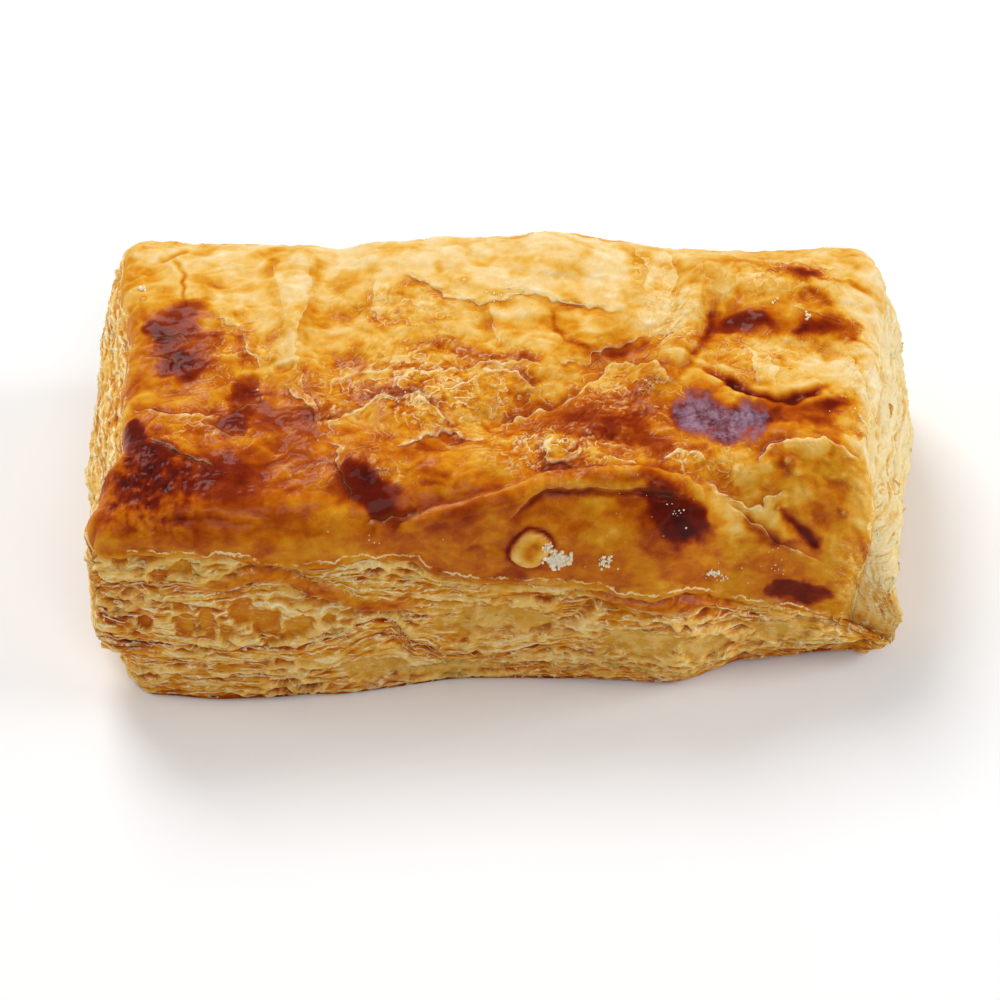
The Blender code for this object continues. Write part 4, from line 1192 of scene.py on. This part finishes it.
# Finishes
class Signal:
    # one output of a material's nodes; sums on it add the Math nodes
    def __init__(self, tree, socket=None):
        self.tree = tree
        self.socket = socket

    def node(self, kind, settings=None, inputs=None, output=0):
        made = self.tree.nodes.new(kind)
        for setting, value in (settings or {}).items():
            if setting == "stops":
                fillRamp(made.color_ramp, value)
            else:
                setattr(made, setting, value)
        for name, value in (inputs or {}).items():
            if isinstance(value, Signal):
                self.tree.links.new(value.socket, made.inputs[name])
            else:
                made.inputs[name].default_value = value
        return Signal(self.tree, made.outputs[output])

    def sum(self, operation, first, second):
        return self.node("ShaderNodeMath", {"operation": operation}, {0: first, 1: second})

    def __add__(self, other):
        return self.sum("ADD", self, other)

    def __sub__(self, other):
        return self.sum("SUBTRACT", self, other)

    def __rsub__(self, other):
        return self.sum("SUBTRACT", other, self)

    def __mul__(self, other):
        return self.sum("MULTIPLY", self, other)

    __radd__ = __add__
    __rmul__ = __mul__

    def between(self, low, high, start=0.0, end=1.0):
        inputs = {"Value": self, "From Min": low, "From Max": high, "To Min": start, "To Max": end}
        return self.node("ShaderNodeMapRange", {"interpolation_type": "SMOOTHSTEP"}, inputs)

    def blend(self, first, second):
        # this signal is the share of the second colour
        return self.node("ShaderNodeMix", {"data_type": "RGBA"}, {0: self, 6: first, 7: second}, 2)


def fillRamp(ramp, stops):
    while len(ramp.elements) < len(stops):
        ramp.elements.new(0.5)
    for element, (position, colour) in zip(ramp.elements, stops):
        element.position = position
        element.color = colour


def tint(red, green, blue):
    # a colour as seen on a screen, from 0 to 255, as Blender's linear values
    shares = (red / 255, green / 255, blue / 255)
    return (*(c / 12.92 if c <= 0.04045 else ((c + 0.055) / 1.055) ** 2.4 for c in shares), 1.0)


tones = {
    # how the pastry's colour runs with its bake
    "baked": ((0.00, tint(248, 232, 192)), (0.16, tint(240, 208, 146)), (0.32, tint(233, 182, 84)),
     (0.46, tint(220, 148, 26)),
              (0.60, tint(200, 108, 3)), (0.72, tint(170, 72, 2)), (0.82, tint(136, 42, 2)),
               (0.91, tint(106, 22, 3)),
              (1.00, tint(66, 16, 12))),
    "pale": tint(255, 230, 168),
    "thread": tint(255, 238, 192),
    "flake": tint(252, 214, 128),
    # gap: the colour of the painted shade in gaps and under edges
    "gap": tint(206, 116, 4),
    "dough": tint(208, 164, 62),
    # the purple sheen of the scorches, a painted reflection
    "purple": tint(164, 128, 146),
    "crumb": tint(255, 244, 226),
}


# each finish: its roughness, sheen and how much light it lets in, and how deep that light goes in metres
finishes = {
    "glazed_crust": (0.45, 0.04, 0.12),
    "baked_layers": (0.6, 0.05, 0.22),
    "pale_crumb": (0.7, 0.2, 0.2),
    "coatRoughness": 0.09,
    "lightDepth": 0.0016,
    "lightDepths": (1.0, 0.45, 0.16),
    "bumpDepth": 0.001,
}


def finishOf(name, build):
    material = bpy.data.materials.new(name)
    material.use_nodes = True
    tree = material.node_tree
    shader = tree.nodes["Principled BSDF"]
    roughness, specular, subsurface = finishes[name]
    constants = {"Roughness": roughness, "Specular IOR Level": specular, "Subsurface Weight": subsurface,
                 "Coat Roughness": finishes["coatRoughness"], "Subsurface Radius": finishes["lightDepths"],
                 "Subsurface Scale": finishes["lightDepth"]}
    for socket, value in constants.items():
        shader.inputs[socket].default_value = value
    root = Signal(tree)
    spot = root.node("ShaderNodeTexCoord", output="Object")

    def grain(size, detail=3.0, roughnessOf=0.6, distortion=0.0):
        return noiseOf(root, spot, size, detail, roughnessOf, distortion)

    def mark(title):
        return root.node("ShaderNodeAttribute", {"attribute_name": title}, output="Fac")

    for socket, value in build(root, grain, mark, spot).items():
        tree.links.new(value.socket, shader.inputs[socket])
    return material


def noiseOf(root, spot, size, detail=2.0, roughness=0.5, distortion=0.0, output="Fac"):
    # noise whose waves are about size millimetres
    inputs = {"Vector": spot, "Scale": 1000 / size, "Detail": detail, "Roughness": roughness}
    inputs["Distortion"] = distortion
    return root.node("ShaderNodeTexNoise", {}, inputs, output)


def fractionOf(root, signal):
    return root.node("ShaderNodeMath", {"operation": "FRACT"}, {0: signal})


def bakedColour(root, level):
    return root.node("ShaderNodeValToRGB", {"stops": tones["baked"]}, {0: level}, "Color")


def bumped(root, height, strength=1.0, depth=finishes["bumpDepth"]):
    inputs = {"Strength": strength, "Distance": depth, "Height": height}
    return root.node("ShaderNodeBump", {}, inputs, "Normal")


def band(signal, rise, top, edge, fall):
    # 1 from top to edge, fading to 0 at rise below and at fall above
    return signal.between(rise, top) * signal.between(edge, fall, 1.0, 0.0)


def sparklesOf(root, spot, size, share):
    # small round specks in some of the random cells of one size
    inputs = {"Vector": spot, "Scale": 1000 / size}
    far = root.node("ShaderNodeTexVoronoi", {}, inputs, "Distance")
    kept = root.node("ShaderNodeTexVoronoi", {}, inputs, "Color")
    chosen = (kept * 1.0).between(1 - share - 0.02, 1 - share + 0.02)
    return far.between(0.10, 0.20, 1.0, 0.0) * chosen


def crustNodes(root, grain, mark, spot):
    bake, pale, shade, rough, purple = (mark(title) for title in ("bake", "pale", "shade", "rough", "purple"))
    brink, torn, sheets, steep = (mark(title) for title in ("brink", "torn", "sheets", "steep"))
    fine = grain(0.9, 4.0, 0.7)
    mottle = grain(2.6, 4.0, 0.65, 0.4)
    blotch = grain(7.0, 3.0)
    pits = grain(0.35, 2.0, 0.6)
    gaps = grain(3.0, 4.0, 0.7).between(0.44, 0.54)
    dark = bake.between(0.58, 0.80)
    flake = fractionOf(root, grain(7.0, 6.0, 0.68) * 5.0)
    scale = fractionOf(root, grain(3.2, 5.0, 0.68) * 3.6)
    broken = (rough + 0.04) * (1.0 - dark)

    # thin torn edges: a pale line along the top, and beneath it a browner line that is painted shadow
    edge = brink + (fine - 0.5) * 0.40
    line = band(edge, -0.06, 0.02, 0.10, 0.24) * torn * (0.3 + gaps * 0.7)
    under = band(edge, -0.45, -0.12, -0.08, 0.0) * torn
    # the same along the steps of the broken skin, with a painted shadow beneath each step
    sheet = fractionOf(root, sheets + (fine - 0.5) * 0.22 + (mottle - 0.5) * 0.30)
    rise = root.sum("DIVIDE", sheet, steep)
    drop = root.sum("DIVIDE", 1.0 - sheet, steep)
    flakeLine = root.sum("MINIMUM", rise, drop).between(0.05, 0.14, 1.0, 0.0) * gaps * broken
    flakeShadow = drop.between(0.04, 0.45, 1.0, 0.0) * broken * gaps

    level = bake + ((mottle - 0.5) * 0.26 + (fine - 0.5) * 0.12 + (blotch - 0.5) * 0.18) * (1.0 - dark * 0.5)
    # the browner lines beneath the torn edges and the steps are painted shadow
    level = level + ((flake - 0.5) * 0.15 + (scale - 0.5) * 0.08) * broken + under * 0.12 + flakeShadow * 0.12
    colour = (shade * 0.5).blend(bakedColour(root, level), tones["gap"])
    rims = flake.between(0.0, 0.10, 1.0, 0.0) * grain(4.0, 2.0).between(0.46, 0.56)
    rims = rims + scale.between(0.0, 0.12, 1.0, 0.0) * grain(2.2, 2.0).between(0.48, 0.58) * 0.6
    colour = (rims * broken * 0.80).blend(colour, tones["pale"])
    veil = pale.between(0.08, 0.85) * (0.40 + fine * 1.2).between(0.70, 1.05) * (1.0 - dark * 0.8)
    colour = (veil * 0.80).blend(colour, tones["pale"])
    colour = (line * (1.0 - dark * 0.85) * 0.95 + flakeLine * 0.85).blend(colour, tones["pale"])
    # the crust's own rim, then the purple sheen of the scorches, which is a painted reflection, and white
    # specks that are partly crumbs and partly painted glints
    rim = mark("rim") + (fine - 0.5) * 1.0 + (mottle - 0.5) * 1.6 + (blotch - 0.5) * 3.0
    hem = band(rim, -0.34, -0.14, 0.02, 0.14) * grain(4.0, 4.0, 0.7).between(0.42, 0.54)
    colour = (hem * 0.8).blend(colour, tones["pale"])
    paintedSheenCover = purple.between(0.38, 1.05) * mottle.between(0.29, 0.62) * fine.between(0.20, 0.60)
    colour = (paintedSheenCover * 0.95).blend(colour, tones["purple"])
    # white specks, partly crumbs and partly painted glints
    glintSpecks = sparklesOf(root, spot, 1.1, 0.07)
    colour = (glintSpecks * 0.8).blend(colour, tones["crumb"])

    height = fine * 0.13 + pits * 0.06 + mottle * 0.10 + (flake * 0.10 + scale * 0.05) * broken
    height = height + glintSpecks * 0.08
    height = height + edge.between(-0.14, 0.12) * torn * 0.13
    height = height - sheet * steep.between(0.2, 1.2) * broken * 0.05
    gloss = 0.56 - level.between(0.35, 0.70) * 0.26 + fine * 0.10
    coat = level.between(0.40, 0.62) * 0.11
    return {"Base Color": colour, "Normal": bumped(root, height), "Roughness": gloss, "Coat Weight": coat}


def layerNodes(root, grain, mark, spot):
    bake, pale, shade, damp, glaze = (mark(title) for title in ("bake", "pale", "shade", "damp", "glaze"))
    fine = grain(0.8, 4.0, 0.7)
    mottle = grain(2.4, 3.0)
    drift = root.node("ShaderNodeVectorMath", {"operation": "MULTIPLY_ADD"}, {
        0: noiseOf(root, spot, 2.4, output="Color"), 1: (0.0010, 0.0010, 0.0014), 2: spot}, "Vector")
    combed = root.node("ShaderNodeVectorMath", {"operation": "MULTIPLY"}, {
        0: drift, 1: (0.22, 0.22, 1.0)}, "Vector")
    fibre = noiseOf(root, combed, 1 / 1.6, 3.0, 0.6)
    flake = fractionOf(root, noiseOf(root, combed, 1 / 0.42, 4.0) * 9.0)
    bare = (1.0 - glaze) * (1.0 - damp * 0.6)
    # the thin pale rim of each sheet, and the gap beneath it, made browner as painted shade
    sheet = fractionOf(root, mark("stack") + (fine - 0.5) * 0.22 + (mottle - 0.5) * 0.5)
    drawn = mark("ply").between(0.0, 0.30) * bare * grain(4.0, 4.0, 0.7).between(0.43, 0.53)
    lip = band(sheet, 0.50, 0.58, 0.64, 0.74) * drawn
    gap = band(sheet, 0.76, 0.86, 0.94, 1.0) * drawn

    level = bake + (mottle - 0.5) * 0.22 + (fine - 0.5) * 0.16 + (fibre - 0.5) * 0.18
    # the gap beneath each rim darkens the colour as painted shade
    level = level + (flake - 0.5) * bare * 0.12 + gap * 0.12
    colour = (damp * 0.5).blend(bakedColour(root, level), tones["dough"])
    colour = (damp * grain(3.4, 4.0, 0.7).between(0.48, 0.60) * 0.5).blend(colour, tones["flake"])
    colour = (shade * 0.6).blend(colour, tones["gap"])
    colour = (pale * fine.between(0.3, 0.6) * 0.70).blend(colour, tones["flake"])
    rims = flake.between(0.04, 0.24, 1.0, 0.0) * grain(2.6, 2.0).between(0.42, 0.54)
    colour = (rims * bare * 0.7).blend(colour, tones["thread"])
    colour = (lip * 0.9).blend(colour, tones["thread"])
    # white specks, partly crumbs and partly painted glints
    colour = (sparklesOf(root, spot, 1.0, 0.12) * bare * 0.7).blend(colour, tones["crumb"])

    height = fine * 0.20 + mottle * 0.12 + (fibre * 0.16 + flake * 0.12) * bare + lip * 0.10 - gap * 0.06
    gloss = 0.66 - glaze * 0.3 - damp * 0.15
    coat = glaze * 0.14 + damp * 0.04
    return {"Base Color": colour, "Normal": bumped(root, height), "Roughness": gloss, "Coat Weight": coat}


def crumbNodes(root, grain, mark, spot):
    fine = grain(0.5, 2.0)
    colour = fine.between(0.3, 0.7).blend(tones["crumb"], tones["pale"])
    return {"Base Color": colour, "Normal": bumped(root, fine, 0.6, 0.0004)}


glazedCrust = finishOf("glazed_crust", crustNodes)
bakedLayers = finishOf("baked_layers", layerNodes)
paleCrumb = finishOf("pale_crumb", crumbNodes)
print("Finishes made")

crustPiece = makeCrust()
isPastry(crustPiece, glazedCrust)

cornerAt = parcel["halfLength"]
around = 4 * (parcel["halfLength"] + parcel["halfDepth"])
frontPiece, frontWall, frontFacing = makeLayers(
    "front_layers", cornerAt, around - cornerAt, layers["frontColumns"], layers["frontRows"], 0.0)
isPastry(frontPiece, bakedLayers)
# the back wall runs a little way round both back corners, behind the front piece
lap = layers["overlap"]
backPiece, backWall, backFacing = makeLayers(
    "back_layers", around - cornerAt - lap, around + cornerAt + lap, layers["backColumns"],
     layers["backRows"],
    layers["backTuck"])
isPastry(backPiece, bakedLayers)

undersidePiece = makeUnderside()
isPastry(undersidePiece, bakedLayers)

frontLeaves = makeLeaves("front_leaves", frontWall, frontFacing, leaves["count"], leaves["seed"])
isPastry(frontLeaves, bakedLayers, False)
backLeaves = makeLeaves("back_leaves", backWall, backFacing, leaves["count"] // 3, leaves["seed"] + 1)
isPastry(backLeaves, bakedLayers, False)

crumbPiece = makeCrumbs(crustPiece)
isPastry(crumbPiece, paleCrumb, False)

# Studio: a plain pale floor, soft light and the photograph's view
studio = {
    "floorSize": 3.0,
    "floorColour": (0.93, 0.93, 0.93, 1.0),
    "floorRoughness": 0.9,
    "floorSheen": 0.1,
    "lightAim": (0.0, 0.0, 0.02),
    "sensor": 36.0,
    "elevation": 50.0,
    "distance": 0.62,
    "aim": (-0.0006, 0.0, 0.017),
    "riseOfFrame": -0.0067,
    "lens": 147.1,
    "worldStrength": 0.24,
    # place, size, power in watts
    "lights": (
        ((-0.30, 0.55, 0.85), 0.42, 6.1),
        ((0.80, 0.05, 0.45), 0.40, 3.6),
        ((-0.80, 0.00, 0.45), 0.40, 1.7),
        ((0.15, -0.65, 0.85), 0.45, 2.4),
    ),
}


def makeStudio():
    bm = bmesh.new()
    bmesh.ops.create_grid(bm, x_segments=2, y_segments=2, size=studio["floorSize"] / 2)
    mesh = bpy.data.meshes.new("floor")
    bm.to_mesh(mesh)
    bm.free()
    floor = bpy.data.objects.new("floor", mesh)
    bpy.context.scene.collection.objects.link(floor)
    material = bpy.data.materials.new("floor_paint")
    material.use_nodes = True
    shader = material.node_tree.nodes["Principled BSDF"]
    shader.inputs["Base Color"].default_value = studio["floorColour"]
    shader.inputs["Roughness"].default_value = studio["floorRoughness"]
    shader.inputs["Specular IOR Level"].default_value = studio["floorSheen"]
    mesh.materials.append(material)

    world = bpy.data.worlds.new("studio")
    world.use_nodes = True
    background = world.node_tree.nodes["Background"]
    background.inputs["Color"].default_value = (1.0, 1.0, 1.0, 1.0)
    background.inputs["Strength"].default_value = studio["worldStrength"]
    bpy.context.scene.world = world

    for number, (spot, size, power) in enumerate(studio["lights"]):
        data = bpy.data.lights.new("softbox" + str(number), "AREA")
        data.shape = "SQUARE"
        data.size = size
        data.energy = power
        lamp = bpy.data.objects.new("softbox" + str(number), data)
        lamp.location = spot
        aim = Vector(studio["lightAim"]) - Vector(spot)
        lamp.rotation_euler = aim.to_track_quat("-Z", "Y").to_euler()
        bpy.context.scene.collection.objects.link(lamp)

    angle = math.radians(studio["elevation"])
    back = Vector((0, -math.cos(angle), math.sin(angle)))
    up = Vector((0, math.sin(angle), math.cos(angle)))
    data = bpy.data.cameras.new("camera")
    data.lens = studio["lens"]
    data.sensor_width = studio["sensor"]
    camera = bpy.data.objects.new("camera", data)
    camera.location = Vector(studio["aim"]) + back * studio["distance"] + up * studio["riseOfFrame"]
    camera.rotation_euler = (-back).to_track_quat("-Z", "Y").to_euler()
    bpy.context.scene.collection.objects.link(camera)
    bpy.context.scene.camera = camera
    bpy.context.scene.view_settings.view_transform = "Standard"
    bpy.context.scene.view_settings.look = "None"


makeStudio()
print("Studio made")
